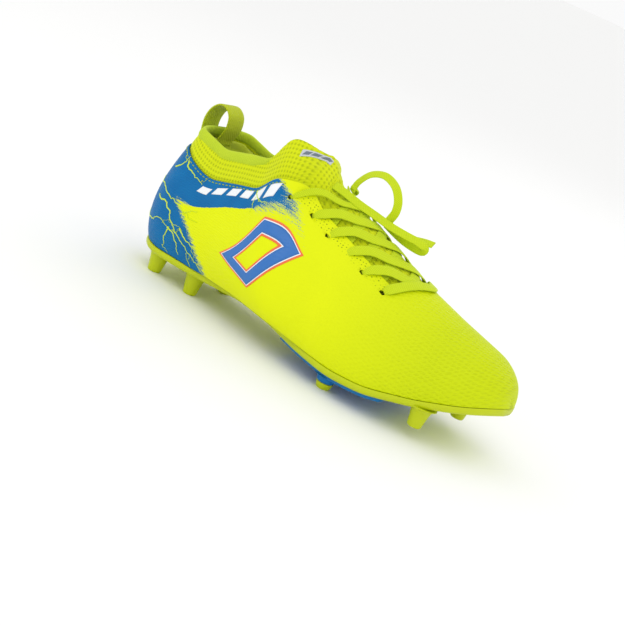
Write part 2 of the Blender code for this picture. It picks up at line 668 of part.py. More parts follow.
def build_bow():
    """Small flat knot at the head of the lacing, with one loop standing up and one lying forward."""
    origin = np.array([ORIGIN_X, ORIGIN_Y, 0.0])
    point, normal = on_upper(KNOT_X, 0.9, MEDIAL, 1.2 + KNOT_HALF[2])
    rounded_knot("lace_knot", point, normal)
    side = np.array([0.0, 1.0, 0.0])
    for name, route, count in (("lace_loop_standing", STANDING_LOOP, 22), ("lace_loop_lying", LYING_LOOP, 26),
                               ("lace_tail", TAIL, 8)):
        centres = smooth_path(route, count) - origin
        tangents = np.gradient(centres, axis=0)
        normals = np.cross(tangents, side)
        strap(name, centres, normals, LOOP_WIDTH, LACE_THICKNESS, "lace")


def rounded_knot(name, centre, normal):
    work = bmesh.new()
    bmesh.ops.create_uvsphere(work, u_segments=12, v_segments=8, radius=MM)
    mesh = bpy.data.meshes.new(name)
    turn = track(normal).to_matrix()
    for vertex in work.verts:
        local = vertex.co.copy()
        for axis in range(3):
            local[axis] *= KNOT_HALF[axis]
        vertex.co = turn @ local
        for axis in range(3):
            vertex.co[axis] += centre[axis] * MM
    work.to_mesh(mesh)
    work.free()
    knot = bpy.data.objects.new(name, mesh)
    PARTS.objects.link(knot)
    mesh.shade_smooth()
    mesh.materials.append(material("lace"))


def build_pull_tab():
    """Webbing loop over the heel rim: two sewn ends, and the free loop that bends at the rim."""
    centres = smooth_path([(x - ORIGIN_X, -ORIGIN_Y, z) for x, z in PULL_TAB_ROUTE], 34)
    tangents = np.gradient(centres, axis=0)
    normals = np.cross(np.array([0.0, 1.0, 0.0]), tangents)
    free = np.flatnonzero(centres[:, 2] > PULL_TAB_AXIS[1] + 0.5)
    outer = range(free[0] - 1)
    inner = range(free[-1] + 2, len(centres))
    pieces = (("pull_tab_end_outer", outer), ("pull_tab", free), ("pull_tab_end_inner", inner))
    for name, chosen in pieces:
        chosen = list(chosen)
        piece = strap(name, centres[chosen], normals[chosen], PULL_TAB_WIDTH, PULL_TAB_THICKNESS, "webbing")
        if name == "pull_tab":
            move_origin(piece, (PULL_TAB_AXIS[0] - ORIGIN_X, -ORIGIN_Y, PULL_TAB_AXIS[1]))


def make_collection(name):
    made = bpy.data.collections.new(name)
    bpy.context.scene.collection.children.link(made)
    return made


clear_scene()
PARTS = make_collection("soccer_cleat")
CUTTERS = make_collection("cutters")
build_shell()
build_layers()
build_flap()
build_sole()
build_inside()
build_lacing()
build_bow()
build_pull_tab()
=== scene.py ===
# Soccer cleat, right foot: its looks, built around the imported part. Metres; heel at -X, toe at +X,
# outer side of the foot at -Y, Z up. The shape tables are in millimetres from the heel point.
import math
from functools import partial
import bpy
import numpy as np
from mathutils import Matrix, Vector


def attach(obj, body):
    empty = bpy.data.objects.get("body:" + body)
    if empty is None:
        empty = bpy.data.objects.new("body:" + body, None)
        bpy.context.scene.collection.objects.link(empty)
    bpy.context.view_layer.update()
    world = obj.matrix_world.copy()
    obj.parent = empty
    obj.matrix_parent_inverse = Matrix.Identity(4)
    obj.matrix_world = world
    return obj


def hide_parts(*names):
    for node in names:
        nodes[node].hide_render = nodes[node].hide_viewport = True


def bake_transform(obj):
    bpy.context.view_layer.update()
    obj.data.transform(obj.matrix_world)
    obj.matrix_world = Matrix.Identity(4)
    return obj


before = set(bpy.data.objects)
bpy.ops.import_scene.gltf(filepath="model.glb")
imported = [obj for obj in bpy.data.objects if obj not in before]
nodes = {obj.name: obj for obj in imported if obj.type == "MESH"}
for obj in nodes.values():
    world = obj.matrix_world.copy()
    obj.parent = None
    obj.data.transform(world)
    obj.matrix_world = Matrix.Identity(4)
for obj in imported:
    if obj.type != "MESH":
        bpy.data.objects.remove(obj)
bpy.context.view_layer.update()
mm = 0.001
heelPoint = np.array([140.15, -3.05, 0.0])
lateral, medial = -1, 1
climbOf = 95.0   # millimetres climbed by the whole height fraction, for marks laid out in millimetres

cameraSettings = {"place": (0.4176, -0.8309, 0.2770), "azimuth": 26.83, "elevation": 14.95, "roll": 24.22,
                  "lens": 86.4}


# A new object in the scene around its data.
def placed(name, data):
    obj = bpy.data.objects.new(name, data)
    bpy.context.scene.collection.objects.link(obj)
    return obj


# The camera looks back along azimuth and elevation, then rolls about its own axis.
def placeCamera(settings):
    azimuth, elevation, roll = (math.radians(settings[key]) for key in ("azimuth", "elevation", "roll"))
    back = Vector((math.sin(azimuth) * math.cos(elevation), -math.cos(azimuth) * math.cos(elevation),
                   math.sin(elevation)))
    level = Vector((math.cos(azimuth), math.sin(azimuth), 0))
    upright = back.cross(level)
    right = level * math.cos(roll) + upright * math.sin(roll)
    up = upright * math.cos(roll) - level * math.sin(roll)
    data = bpy.data.cameras.new("studioCamera")
    data.lens = settings["lens"]
    data.sensor_width = 36
    camera = placed("studioCamera", data)
    camera.matrix_world = Matrix.Translation(settings["place"]) @ Matrix((right, up, back)).transposed().to_4x4()
    bpy.context.scene.camera = camera


placeCamera(cameraSettings)
print("camera placed")

shape = {
    "length": 282.0,
    "lateralWidth": ((0, 29), (45, 31.5), (70, 33), (98, 39.5), (127, 43), (155, 44), (178, 45.5), (197, 46.3),
                     (220, 43.4), (242, 37.5), (259, 32.5), (282, 26)),
    "medialWidth": ((0, 29), (45, 31.5), (70, 31), (98, 30.5), (127, 33), (155, 40), (178, 45), (197, 46.3),
                    (220, 43.4), (242, 37.5), (259, 32.5), (282, 26)),
    "plateWidth": ((0, 29), (45, 31.5), (70, 30), (98, 28.5), (127, 32), (155, 41), (178, 45.3), (197, 46.3),
                   (220, 43.4), (242, 37.5), (259, 32.5), (282, 26)),
    "centreLine": ((0, 0), (45, 0), (98, -1.5), (127, -2.5), (178, -2.2), (197, -1.2), (220, 0.4), (242, 2.6),
                   (259, 4.2), (282, 6.2)),
    "edgeHeight": ((0, 20), (25, 18.5), (60, 19.5), (100, 22), (130, 20.5), (160, 18), (185, 16.5), (210, 18),
                   (240, 25.2), (262, 32.7), (282, 40.2)),
    "topX": ((0, 15), (20, 24), (50, 46), (75, 66), (95, 79), (104, 83), (112, 87), (120, 94), (130, 103),
             (148, 121), (168, 145), (190, 172), (210, 197), (235, 229), (260, 258), (282, 282)),
    "topHeight": ((0, 104), (20, 103), (50, 98), (75, 104), (95, 107), (104, 116), (112, 127), (120, 128),
                  (130, 125.5), (148, 110), (168, 102), (190, 92), (210, 82), (235, 73), (260, 66), (282, 60)),
    "lowHandle": ((0, 36), (50, 32), (100, 32), (130, 34), (160, 31), (205, 25), (250, 16), (282, 9)),
    "lowAngle": ((0, 22), (50, 20), (95, 37), (125, 41), (160, 30), (205, 16), (250, 16), (282, 18)),
    "topAngle": ((0, 4), (60, 6), (95, 6), (112, 20), (130, 60), (150, 74), (190, 80), (220, 85), (250, 88),
                 (282, 90)),
    "topHandle": ((0, 0.3), (112, 0.3), (130, 0.25), (150, 0.35), (190, 0.45), (220, 0.5), (282, 0.5)),
    "shellEdge": ((0, 0.80), (17, 0.79), (28, 0.74), (40, 0.715), (52, 0.72), (77, 0.75), (97, 0.77), (112, 0.74),
                  (127, 0.71), (150, 0.71), (200, 0.71), (282, 0.71)),
}
mouth = {"front": 131.0, "halfWidth": 30.0, "end": 30.0, "innerEnd": 55.0, "innerDip": 8.0, "soften": 10.0}
eyelets = {"stations": (126.5, 142.0, 157.0, 171.0, 185.0, 200.0), "height": 0.63, "radius": 2.0,
           "reach": 5.0, "core": 1.24}


# Straight runs between the table's points, averaged over a window 7 mm each way.
def curve(name, at):
    known = np.array(shape[name], float)
    offsets = np.linspace(-1, 1, 9)
    weights = np.exp(-2.0 * offsets ** 2)
    places = np.asarray(at, float)[..., None] + 7.0 * offsets
    return np.interp(places, known[:, 0], known[:, 1]) @ weights / weights.sum()


# 0 up to start, rising straight to 1 over width; a negative width falls instead, from 1 to 0 at start.
def ramp(value, start, width):
    return np.clip((value - start) / width, 0, 1)


# Each vector over its own length.
def unit(vectors):
    return vectors / np.maximum(np.linalg.norm(vectors, axis=-1, keepdims=True), 1e-9)


# Length gone at each point of a path, 0 at the first.
def lengthAlong(points):
    return np.concatenate([[0], np.cumsum(np.linalg.norm(np.diff(points, axis=0), axis=1))])


# Rows of values read off at given lengths along a path.
def readAlong(at, gone, values):
    return np.stack([np.interp(at, gone, column) for column in values.T], axis=1)


# Quarter circle: 0 at the end, 1 from radius inwards.
def roundEnd(distance, radius):
    part = np.clip(1 - np.asarray(distance, float) / radius, 0, 1)
    return np.sqrt(np.maximum(1 - part ** 2, 0))


# The plan is rounded over 28 mm at the heel and 24 mm at the toe.
def planRounding(station):
    return roundEnd(station, 28.0) * roundEnd(shape["length"] - station, 24.0)


# The foot of a section slides forward by 3 mm at the heel, fading over 60 mm.
def heelShift(station):
    return 3 * ramp(station, 60.0, -60.0) ** 2


# Upper's outer surface. Each section is a cubic arc from the sole's edge to the mouth rim or the ridge:
# its two handles lean out by lowAngle and topAngle, and the section slides back as it climbs.
def surface(station, fraction, side):
    station, fraction, side = np.broadcast_arrays(np.asarray(station, float), np.asarray(fraction, float), side)
    width = np.where(side < 0, curve("lateralWidth", station), curve("medialWidth", station))
    width = width * planRounding(station)
    centre = curve("centreLine", station)
    fade = ramp(station, 110, 120) ** 1.3
    lowWidth = width + side * centre * (1 - fade)
    low = curve("edgeHeight", station)
    toe = np.clip((shape["length"] - station) / 23.0, 0, 1)
    toe = (1 - (1 - toe) ** 2.4) ** (1 / 2.4)
    height = (curve("topHeight", station) - low) * toe
    # the mouth's rims meet on a quarter circle; lower down that end is averaged along the foot
    offsets = np.linspace(-mouth["soften"], mouth["soften"], 9)
    weights = np.exp(-0.02 * offsets ** 2)
    before = mouth["front"] - station
    sharp = roundEnd(before, np.where(side < 0, mouth["end"], mouth["innerEnd"]))
    soft = roundEnd(before[..., None] - offsets, mouth["end"]) @ weights / weights.sum()
    topWidth = mouth["halfWidth"] * roundEnd(station, 26.0) * (soft + (sharp - soft) * fraction ** 6)
    innerDip = np.where(side < 0, 0.0, mouth["innerDip"]) * roundEnd(before, 14.0) * ramp(station, 96, 12)
    lowAngle, topAngle = np.radians(curve("lowAngle", station)), np.radians(curve("topAngle", station))
    heel = roundEnd(station, 22.0)
    reach = np.hypot(height * np.cos(topAngle), lowWidth * np.sin(topAngle) * 1.3) * curve("topHandle", station)
    lowReach = curve("lowHandle", station) * toe
    rest = 1 - fraction
    bend = [rest ** 3, 3 * fraction * rest ** 2, 3 * fraction ** 2 * rest, fraction ** 3]
    out = (bend[0] * lowWidth + bend[1] * (lowWidth + lowReach * np.sin(lowAngle) * heel * toe)
           + bend[2] * (topWidth + reach * np.sin(topAngle) * heel) + bend[3] * topWidth)
    z = (bend[0] * low + bend[1] * (low + lowReach * np.cos(lowAngle))
         + bend[2] * (low + height - reach * np.cos(topAngle)) + bend[3] * (low + height))
    rise = np.clip((z - low) / np.maximum(height, 0.001), 0, 1)
    x = station + (curve("topX", station) - station) * rise + heelShift(station) * (1 - rise)
    x = x - 8.7 * np.sin(math.pi * rise ** 0.75) * ramp(station, 60.0, -60.0) ** 2
    z = z - innerDip * fraction ** 8
    return np.stack([x, centre * fade + side * out, z], axis=-1) - heelPoint


# Outward normal from small steps along and up the surface.
def surfaceNormal(station, fraction, side):
    station = np.clip(np.asarray(station, float), 0.8, shape["length"] - 1.2)
    fraction = np.clip(np.asarray(fraction, float), 0.01, 0.99)
    along = surface(station + 0.6, fraction, side) - surface(station - 0.6, fraction, side)
    up = surface(station, fraction + 0.008, side) - surface(station, fraction - 0.008, side)
    return unit(np.cross(along, up) * -np.broadcast_to(np.asarray(side)[..., None], along.shape))


# The surface moved inwards by depth; on the heel seam, the ridge and the toe both sides share one normal.
def atDepth(station, fraction, side, depth):
    station, fraction, side, depth = np.broadcast_arrays(np.asarray(station, float), np.asarray(fraction, float),
                                                         side, np.asarray(depth, float))
    normal = surfaceNormal(station, fraction, side)
    shared = normal + surfaceNormal(station, fraction, -side)
    closeness = np.maximum.reduce([ramp(station, 3.0, -3.0), ramp(station, shape["length"] - 4.0, 3.0),
                                   ramp(fraction, 0.93, 0.06) * ramp(station, 123.0, 8.0)])
    normal = unit(normal * (1 - closeness[..., None]) + shared * closeness[..., None])
    return surface(station, fraction, side) - normal * depth[..., None]


# Quads of a grid of rows x columns vertices; wrap joins the last column to the first.
def gridQuads(rows, columns, wrap=False):
    index = np.arange(rows * columns).reshape(rows, columns)
    if wrap:
        index = np.concatenate([index, index[:, :1]], axis=1)
    return np.stack([index[:-1, :-1], index[1:, :-1], index[1:, 1:], index[:-1, 1:]], axis=-1).reshape(-1, 4)


# Vertices within 0.004 mm share a number; first holds the first vertex with each number.
def weldNumbers(points):
    keys = np.round(points / 0.004).astype(np.int64)
    first, number = np.unique(keys, axis=0, return_index=True, return_inverse=True)[1:]
    return number.reshape(-1), first


# Six times the volume inside quads, negative when they face inwards: cones to the middle, summed.
def volumeOf(points, quads):
    a, b, c, d = (points[quads[:, i]] - points.mean(axis=0) for i in range(4))
    return np.einsum("ij,ij->", a, np.cross(b, c) + np.cross(c, d))


# A mesh object from points in millimetres. Repeated corners of a quad are dropped, so poles close cleanly.
def fillMesh(name, points, quads, uv=None, uvQuads=None, attributes=None, material=None, body="shoe"):
    uvQuads = quads if uvQuads is None else uvQuads
    if volumeOf(points, quads) < 0:
        quads, uvQuads = quads[:, ::-1], uvQuads[:, ::-1]
    real = quads != np.roll(quads, 1, axis=1)
    count = real.sum(axis=1)
    whole = count > 2
    quads, uvQuads, real, count = quads[whole], uvQuads[whole], real[whole], count[whole]
    corners = quads[real]
    mesh = bpy.data.meshes.new(name)
    mesh.vertices.add(len(points))
    mesh.vertices.foreach_set("co", (points * mm).astype(np.float32).ravel())
    mesh.loops.add(len(corners))
    mesh.loops.foreach_set("vertex_index", corners.astype(np.int32))
    mesh.polygons.add(len(quads))
    mesh.polygons.foreach_set("loop_start", (np.cumsum(count) - count).astype(np.int32))
    mesh.polygons.foreach_set("loop_total", count.astype(np.int32))
    mesh.polygons.foreach_set("use_smooth", np.ones(len(quads), bool))
    mesh.update(calc_edges=True)
    if uv is not None:
        mesh.uv_layers.new(name="cloth").data.foreach_set("uv", uv[uvQuads[real]].astype(np.float32).ravel())
    for key, values in (attributes or {}).items():
        mesh.attributes.new(key, "FLOAT", "POINT").data.foreach_set("value", values.astype(np.float32).ravel())
    mesh.validate()
    obj = placed(name, mesh)
    if material is not None:
        mesh.materials.append(material)
    if body:
        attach(obj, body)
    return obj


# Two skins with the same quads, joined round their open border into one closed wall.
def closedSkin(name, outer, inner, quads, uv, attributes=None, **rest):
    number, first = weldNumbers(outer)
    size = len(first)
    share = np.bincount(number, minlength=size)[:, None]
    innerMean = np.stack([np.bincount(number, inner[:, axis], size) for axis in range(3)], axis=1) / share
    welded = number[quads]
    sides = np.stack([welded, np.roll(welded, -1, axis=1)], axis=-1).reshape(-1, 2)
    sideSource = np.stack([quads, np.roll(quads, -1, axis=1)], axis=-1).reshape(-1, 2)
    keep = sides[:, 0] != sides[:, 1]
    sides, sideSource = sides[keep], sideSource[keep]
    keys = np.sort(sides, axis=1)
    which, times = np.unique(keys, axis=0, return_inverse=True, return_counts=True)[1:]
    single = times[which.reshape(-1)] == 1
    border, source = sides[single], sideSource[single]
    walls = np.stack([border[:, 1], border[:, 0], border[:, 0] + size, border[:, 1] + size], axis=1)
    wallSource = np.stack([source[:, 1], source[:, 0], source[:, 0], source[:, 1]], axis=1)
    allQuads = np.concatenate([welded, welded[:, ::-1] + size, walls])
    uvQuads = np.concatenate([quads, quads[:, ::-1], wallSource])
    both = {key: np.concatenate([values.ravel()[first]] * 2) for key, values in (attributes or {}).items()}
    points = np.concatenate([outer[first], innerMean])
    used, renumber = np.unique(allQuads, return_inverse=True)
    both = {key: values[used] for key, values in both.items()}
    return fillMesh(name, points[used], renumber.reshape(-1, 4), uv, uvQuads, both, **rest)


# UV in metres: along is the station, negative on the outer side, and up is the length climbed.
def clothUv(signed, points):
    climb = np.linalg.norm(np.diff(points, axis=1), axis=-1)
    climb = np.concatenate([np.zeros((len(points), 1)), np.cumsum(climb, axis=1)], axis=1)
    along = np.broadcast_to(signed[:, None], climb.shape)
    return np.stack([along, climb], axis=-1).reshape(-1, 2) * mm


# A column is numbered by its station, negative on the outer side.
def sideOf(signed):
    return np.where(signed < 0, lateral, medial)


# Columns from the outer side round the heel to the inner side, closer together at heel and toe.
def bothSides(last, count, first=0.0, ease=0.0):
    t = np.linspace(0, 1, count)
    t = t - ease * np.sin(2 * math.pi * t) / (2 * math.pi)
    station = first + (last - first) * t
    return np.concatenate([-station[::-1], station[1:] if first == 0 else station])


# A layer of the upper between two depths, over the given columns and height fractions.
def layer(name, signed, fraction, outerDepth, innerDepth, quads=None, attributes=None, **rest):
    station, side = np.abs(signed)[:, None], sideOf(signed)[:, None]
    outer = atDepth(station, fraction, side, outerDepth)
    inner = atDepth(station, fraction, side, innerDepth)
    quads = gridQuads(*fraction.shape) if quads is None else quads
    uv = clothUv(signed, outer)
    return closedSkin(name, outer.reshape(-1, 3), inner.reshape(-1, 3), quads, uv, attributes, **rest)


# Smooths rows of a path with a short bell-shaped window.
def smoothRows(values, window):
    kernel = np.hanning(window) / np.hanning(window).sum()
    padded = np.pad(values, ((window // 2, window // 2), (0, 0)), mode="edge")
    return np.stack([np.convolve(padded[:, i], kernel, mode="valid") for i in range(values.shape[1])], axis=1)


# Evenly spaced points of a smooth curve through the given ones (Catmull-Rom).
def smoothPath(points, count):
    points = np.array(points, float)
    points = np.vstack([2 * points[0] - points[1], points, 2 * points[-1] - points[-2]])
    a, b, c, d = (points[i:len(points) - 3 + i, None] for i in range(4))
    t = np.linspace(0, 1, 20, endpoint=False)[None, :, None]
    dense = 0.5 * (2 * b + (c - a) * t + (2 * a - 5 * b + 4 * c - d) * t ** 2 + (3 * b - a - 3 * c + d) * t ** 3)
    dense = np.vstack([dense.reshape(-1, 3), points[-2]])
    gone = lengthAlong(dense)
    return readAlong(np.linspace(0, gone[-1], count), gone, dense)


# A tube from rings of points, closed at each end on a pole, with its repeated vertices made one.
def closedTube(points, poles):
    poles = np.broadcast_to(poles, (2, *points.shape[1:]))
    points = np.concatenate([poles[:1], points, poles[1:]])
    number, first = weldNumbers(points.reshape(-1, 3))
    return points.reshape(-1, 3)[first], number[gridQuads(*points.shape[:2], wrap=True)]


# A flat woven band carried along a path: its section is a flattened superellipse. width may vary along it.
def ribbonMesh(centres, normals, width, thickness, around=20, flatness=0.45):
    tangents = unit(np.gradient(centres, axis=0))
    across = unit(np.cross(tangents, normals))
    normals = np.cross(across, tangents)
    turn = np.linspace(0, 2 * math.pi, around, endpoint=False)
    wide = np.sign(np.cos(turn)) * np.abs(np.cos(turn)) ** flatness
    thick = np.sign(np.sin(turn)) * np.abs(np.sin(turn)) ** flatness
    width = np.broadcast_to(width, (len(centres),))[:, None, None]
    points = (centres[:, None] + across[:, None] * width * wide[None, :, None] / 2
              + normals[:, None] * thick[None, :, None] * thickness / 2)
    gone = lengthAlong(centres)
    uv = np.stack([np.broadcast_to(gone[:, None], points.shape[:2]),
                   np.broadcast_to(wide[None, :] * width[:, :, 0] / 2, points.shape[:2])], axis=-1)
    uv = np.concatenate([uv[:1], uv, uv[-1:]])
    return (*closedTube(points, centres[[0, -1], None]), uv.reshape(-1, 2) * mm,
            gridQuads(len(uv), around, wrap=True))


# The same band as a piece.
def ribbon(name, centres, normals, width, thickness, around=20, flatness=0.45, **rest):
    return fillMesh(name, *ribbonMesh(centres, normals, width, thickness, around, flatness), **rest)


# An sRGB hex colour as linear values, by the sRGB curve.
def linear(hexColour):
    parts = [int(hexColour[i:i + 2], 16) / 255 for i in (1, 3, 5)]
    return tuple(p / 12.92 if p <= 0.04045 else ((p + 0.055) / 1.055) ** 2.4 for p in parts) + (1.0,)


# Adds a node with its settings and gives one output; inputs are values or the sockets that feed them.
def addNode(tree, kind, inputs=None, output=0, **settings):
    node = tree.nodes.new("ShaderNode" + kind)
    for key, value in settings.items():
        setattr(node, key, value)
    for key, value in (inputs or {}).items():
        if isinstance(value, bpy.types.NodeSocket):
            tree.links.new(value, node.inputs[key])
        else:
            node.inputs[key].default_value = value
    return node.outputs[output]


# A wave texture repeats every pi/10 over its Scale, so this is the Scale for a pitch in millimetres.
def waveScale(pitch):
    return math.pi / 10 / (pitch * mm)


# A new material, its add function for nodes, its shader, and where its patterns lie: the object's own place.
def newFinish(name, **shaderValues):
    material = bpy.data.materials.new(name)
    material.use_nodes = True
    tree = material.node_tree
    shader = tree.nodes["Principled BSDF"]
    for key, value in shaderValues.items():
        shader.inputs[key.replace("_", " ")].default_value = value
    add = partial(addNode, tree)
    return material, add, shader, add("TexCoord", output="Object")


# Links a socket to one of the shader's inputs.
def feed(shader, socketName, source):
    shader.id_data.links.new(source, shader.inputs[socketName])


# Colour that wanders between two tones over patchSize metres, and a bump of the given height pattern.
def finishColours(add, shader, place, tones, patchSize, height, bumpDistance):
    noise = add("TexNoise", {"Vector": place, "Scale": 1 / patchSize, "Detail": 3.0})
    colour = add("Mix", {0: noise, 6: linear(tones[0]), 7: linear(tones[1])}, 2, data_type="RGBA")
    feed(shader, "Base Color", colour)
    feed(shader, "Normal", add("Bump", {"Height": height, "Distance": bumpDistance}))
    return colour


# Moulded film over knit on the upper: satin, with a wavy embossed ripple that is coarser at the toe, and painted
# shade darkening the toe.
def shellFinish():
    material, add, shader, place = newFinish("mouldedUpperFilm", Roughness=0.52, Specular_IOR_Level=0.16)
    uv = add("UVMap", uv_map="cloth")
    toe, rear, spray, printDistance, dotZone = (add("Attribute", output="Fac", attribute_name=name) for name in (
        "toeRippleAndShade", "rearRibs", "sprayWidth", "printDistance", "throatDots"))
    wander = add("TexNoise", {"Vector": place, "Scale": 90.0, "Detail": 2.0}, "Color")
    shifted = add("VectorMath", {0: wander, 1: (0.0035, 0.0035, 0.0035)}, operation="MULTIPLY")
    moved = add("VectorMath", {0: uv, 1: shifted}, operation="ADD")
    waves = []
    for angle in (64, 118):
        turned = add("Mapping", {"Vector": moved, "Rotation": (0, 0, math.radians(angle))})
        waves.append(add("TexWave", {"Vector": turned, "Scale": waveScale(2.6), "Distortion": 0.6, "Detail": 0.0},
                         "Fac"))
    ripple = add("Math", {0: waves[0], 1: waves[1]}, operation="MULTIPLY")
    ripple = add("Math", {0: ripple, 1: toe}, operation="MULTIPLY")
    ribs = add("TexWave", {"Vector": uv, "Scale": waveScale(1.6), "Distortion": 0.8, "Detail": 1.0,
                           "Detail Scale": 2.0}, "Fac", bands_direction="Y")
    ribs = add("Math", {0: ribs, 1: rear}, operation="MULTIPLY")
    grain = add("TexNoise", {"Vector": place, "Scale": 1500.0, "Detail": 2.0})
    grain = add("Math", {0: grain, 1: 0.18}, operation="MULTIPLY")
    ripple = add("Math", {0: ripple, 1: 1.7}, operation="MULTIPLY")
    height = add("Math", {0: ripple, 1: grain}, operation="ADD")
    height = add("Math", {0: height, 1: ribs}, operation="ADD")
    film = finishColours(add, shader, place, ("#E6F000", "#DFEA00"), 0.03, height, 0.00022)
    # the print: a soft speckled spray where sprayWidth is large, a sharp edge elsewhere
    speck = add("TexNoise", {"Vector": place, "Scale": 1900.0, "Detail": 2.0})
    streakPlace = add("Mapping", {"Vector": uv, "Scale": (120.0, 900.0, 1.0)})
    streak = add("TexNoise", {"Vector": streakPlace, "Scale": 1.0})
    speck = add("Math", {0: speck, 1: streak}, operation="ADD")
    speck = add("Math", {0: speck, 1: 1.0}, operation="SUBTRACT")
    offset = add("Math", {0: speck, 1: spray}, operation="MULTIPLY")
    edge = add("Math", {0: printDistance, 1: offset}, operation="ADD")
    soft = add("Math", {0: spray, 1: 0.16}, operation="MULTIPLY")
    softLow = add("Math", {0: soft, 1: -1.0}, operation="MULTIPLY")
    inside = add("MapRange", {0: edge, 1: softLow, 2: soft})
    inkTone = add("TexNoise", {"Vector": place, "Scale": 60.0})
    ink = add("Mix", {0: inkTone, 6: linear("#025F9C"), 7: linear("#0E76B4")}, 2, data_type="RGBA")
    # painted shade: the film darkens to a deeper green towards the toe, by the same mask that sets the toe's ripple
    toeShaded = add("Mix", {0: toe, 6: film, 7: linear("#C9DA00")}, 2, data_type="RGBA")
    printed = add("Mix", {0: inside, 6: toeShaded, 7: ink}, 2, data_type="RGBA")
    # small stamped holes beside the throat are not cut; the shade inside them is painted as dark dots, 2.1 mm apart
    dots = add("TexVoronoi", {"Vector": uv, "Scale": 1 / 0.0021, "Randomness": 0.25})
    dot = add("MapRange", {0: dots, 1: 0.26, 2: 0.18})
    dot = add("Math", {0: dot, 1: dotZone}, operation="MULTIPLY")
    feed(shader, "Base Color", add("Mix", {0: dot, 6: printed, 7: linear("#8FA300")}, 2, data_type="RGBA"))
    return material


# Diamond knit of polyester: yarn-soft, with painted shade darkening it where the stitches dip; the dips themselves
# are in the mesh.
def knitFinish(name, tones, pitShadeTone):
    material, add, shader, place = newFinish(name, Roughness=0.82, Sheen_Weight=0.08, Sheen_Roughness=0.5,
                                             Specular_IOR_Level=0.2)
    yarn = add("TexWave", {"Vector": add("UVMap", uv_map="cloth"), "Scale": waveScale(1.1), "Distortion": 1.5,
                           "Detail": 2.0, "Detail Scale": 3.0}, "Fac", bands_direction="DIAGONAL")
    colour = finishColours(add, shader, place, tones, 0.012, yarn, 0.00012)
    dip = add("Attribute", output="Fac", attribute_name="dip")
    # painted shade: the colour goes to the darker tone where the dip attribute is high
    feed(shader, "Base Color", add("Mix", {0: dip, 6: colour, 7: linear(pitShadeTone)}, 2, data_type="RGBA"))
    return material


# Flat woven polyester, lace or webbing: a tight plain weave drawn as two crossing waves, a pitch in mm apart.
def wovenFinish(name, tones, pitch=0.9, depth=0.16):
    material, add, shader, place = newFinish(name, Roughness=0.72, Sheen_Weight=0.08, Sheen_Roughness=0.45,
                                             Specular_IOR_Level=0.2)
    uv = add("UVMap", uv_map="cloth")
    waves = []
    for angle in (38, 142):
        turned = add("Mapping", {"Vector": uv, "Rotation": (0, 0, math.radians(angle))})
        waves.append(add("TexWave", {"Vector": turned, "Scale": waveScale(pitch)}, "Fac"))
    weave = add("Math", {0: waves[0], 1: waves[1]}, operation="MULTIPLY")
    colour = finishColours(add, shader, place, tones[:2], 0.01, weave, depth * mm)
    # painted shade: the third, darker tone fills the weave's low places
    feed(shader, "Base Color", add("Mix", {0: weave, 6: linear(tones[2]), 7: colour}, 2, data_type="RGBA"))
    return material


# Injection-moulded TPU: satin, faint flow marks and a fine spark-eroded grain.
def mouldedFinish(name, tones, roughness):
    material, add, shader, place = newFinish(name, Roughness=roughness, Specular_IOR_Level=0.3)
    grain = add("TexNoise", {"Vector": place, "Scale": 2200.0, "Detail": 2.0})
    finishColours(add, shader, place, tones, 0.02, grain, 0.00005)
    scuff = add("TexNoise", {"Vector": place, "Scale": 120.0, "Detail": 4.0})
    feed(shader, "Roughness", add("MapRange", {0: scuff, 1: 0.3, 2: 0.7, 3: roughness - 0.06, 4: roughness + 0.08}))
    return material


# Screen-printed film: flat ink with a faint orange-peel.
def filmFinish(name, colour):
    material, add, shader, place = newFinish(name, Roughness=0.38)
    peel = add("TexNoise", {"Vector": place, "Scale": 900.0, "Detail": 1.0})
    finishColours(add, shader, place, (colour, colour), 0.02, peel, 0.00003)
    return material


# Pressed fibre board, brushed lining or foam: matte with a short felt-like grain.
def feltFinish(name, tones, grainSize=0.0007):
    material, add, shader, place = newFinish(name, Roughness=0.92, Sheen_Weight=0.2, Sheen_Roughness=0.6)
    grain = add("TexNoise", {"Vector": place, "Scale": 1 / grainSize, "Detail": 3.0})
    finishColours(add, shader, place, tones, 0.008, grain, 0.00015)
    return material


# Hides the imported nodes that a finished piece stands for; the piece and its slot are not used.
def enter(piece, slot, *stoodFor):
    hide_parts(*stoodFor)


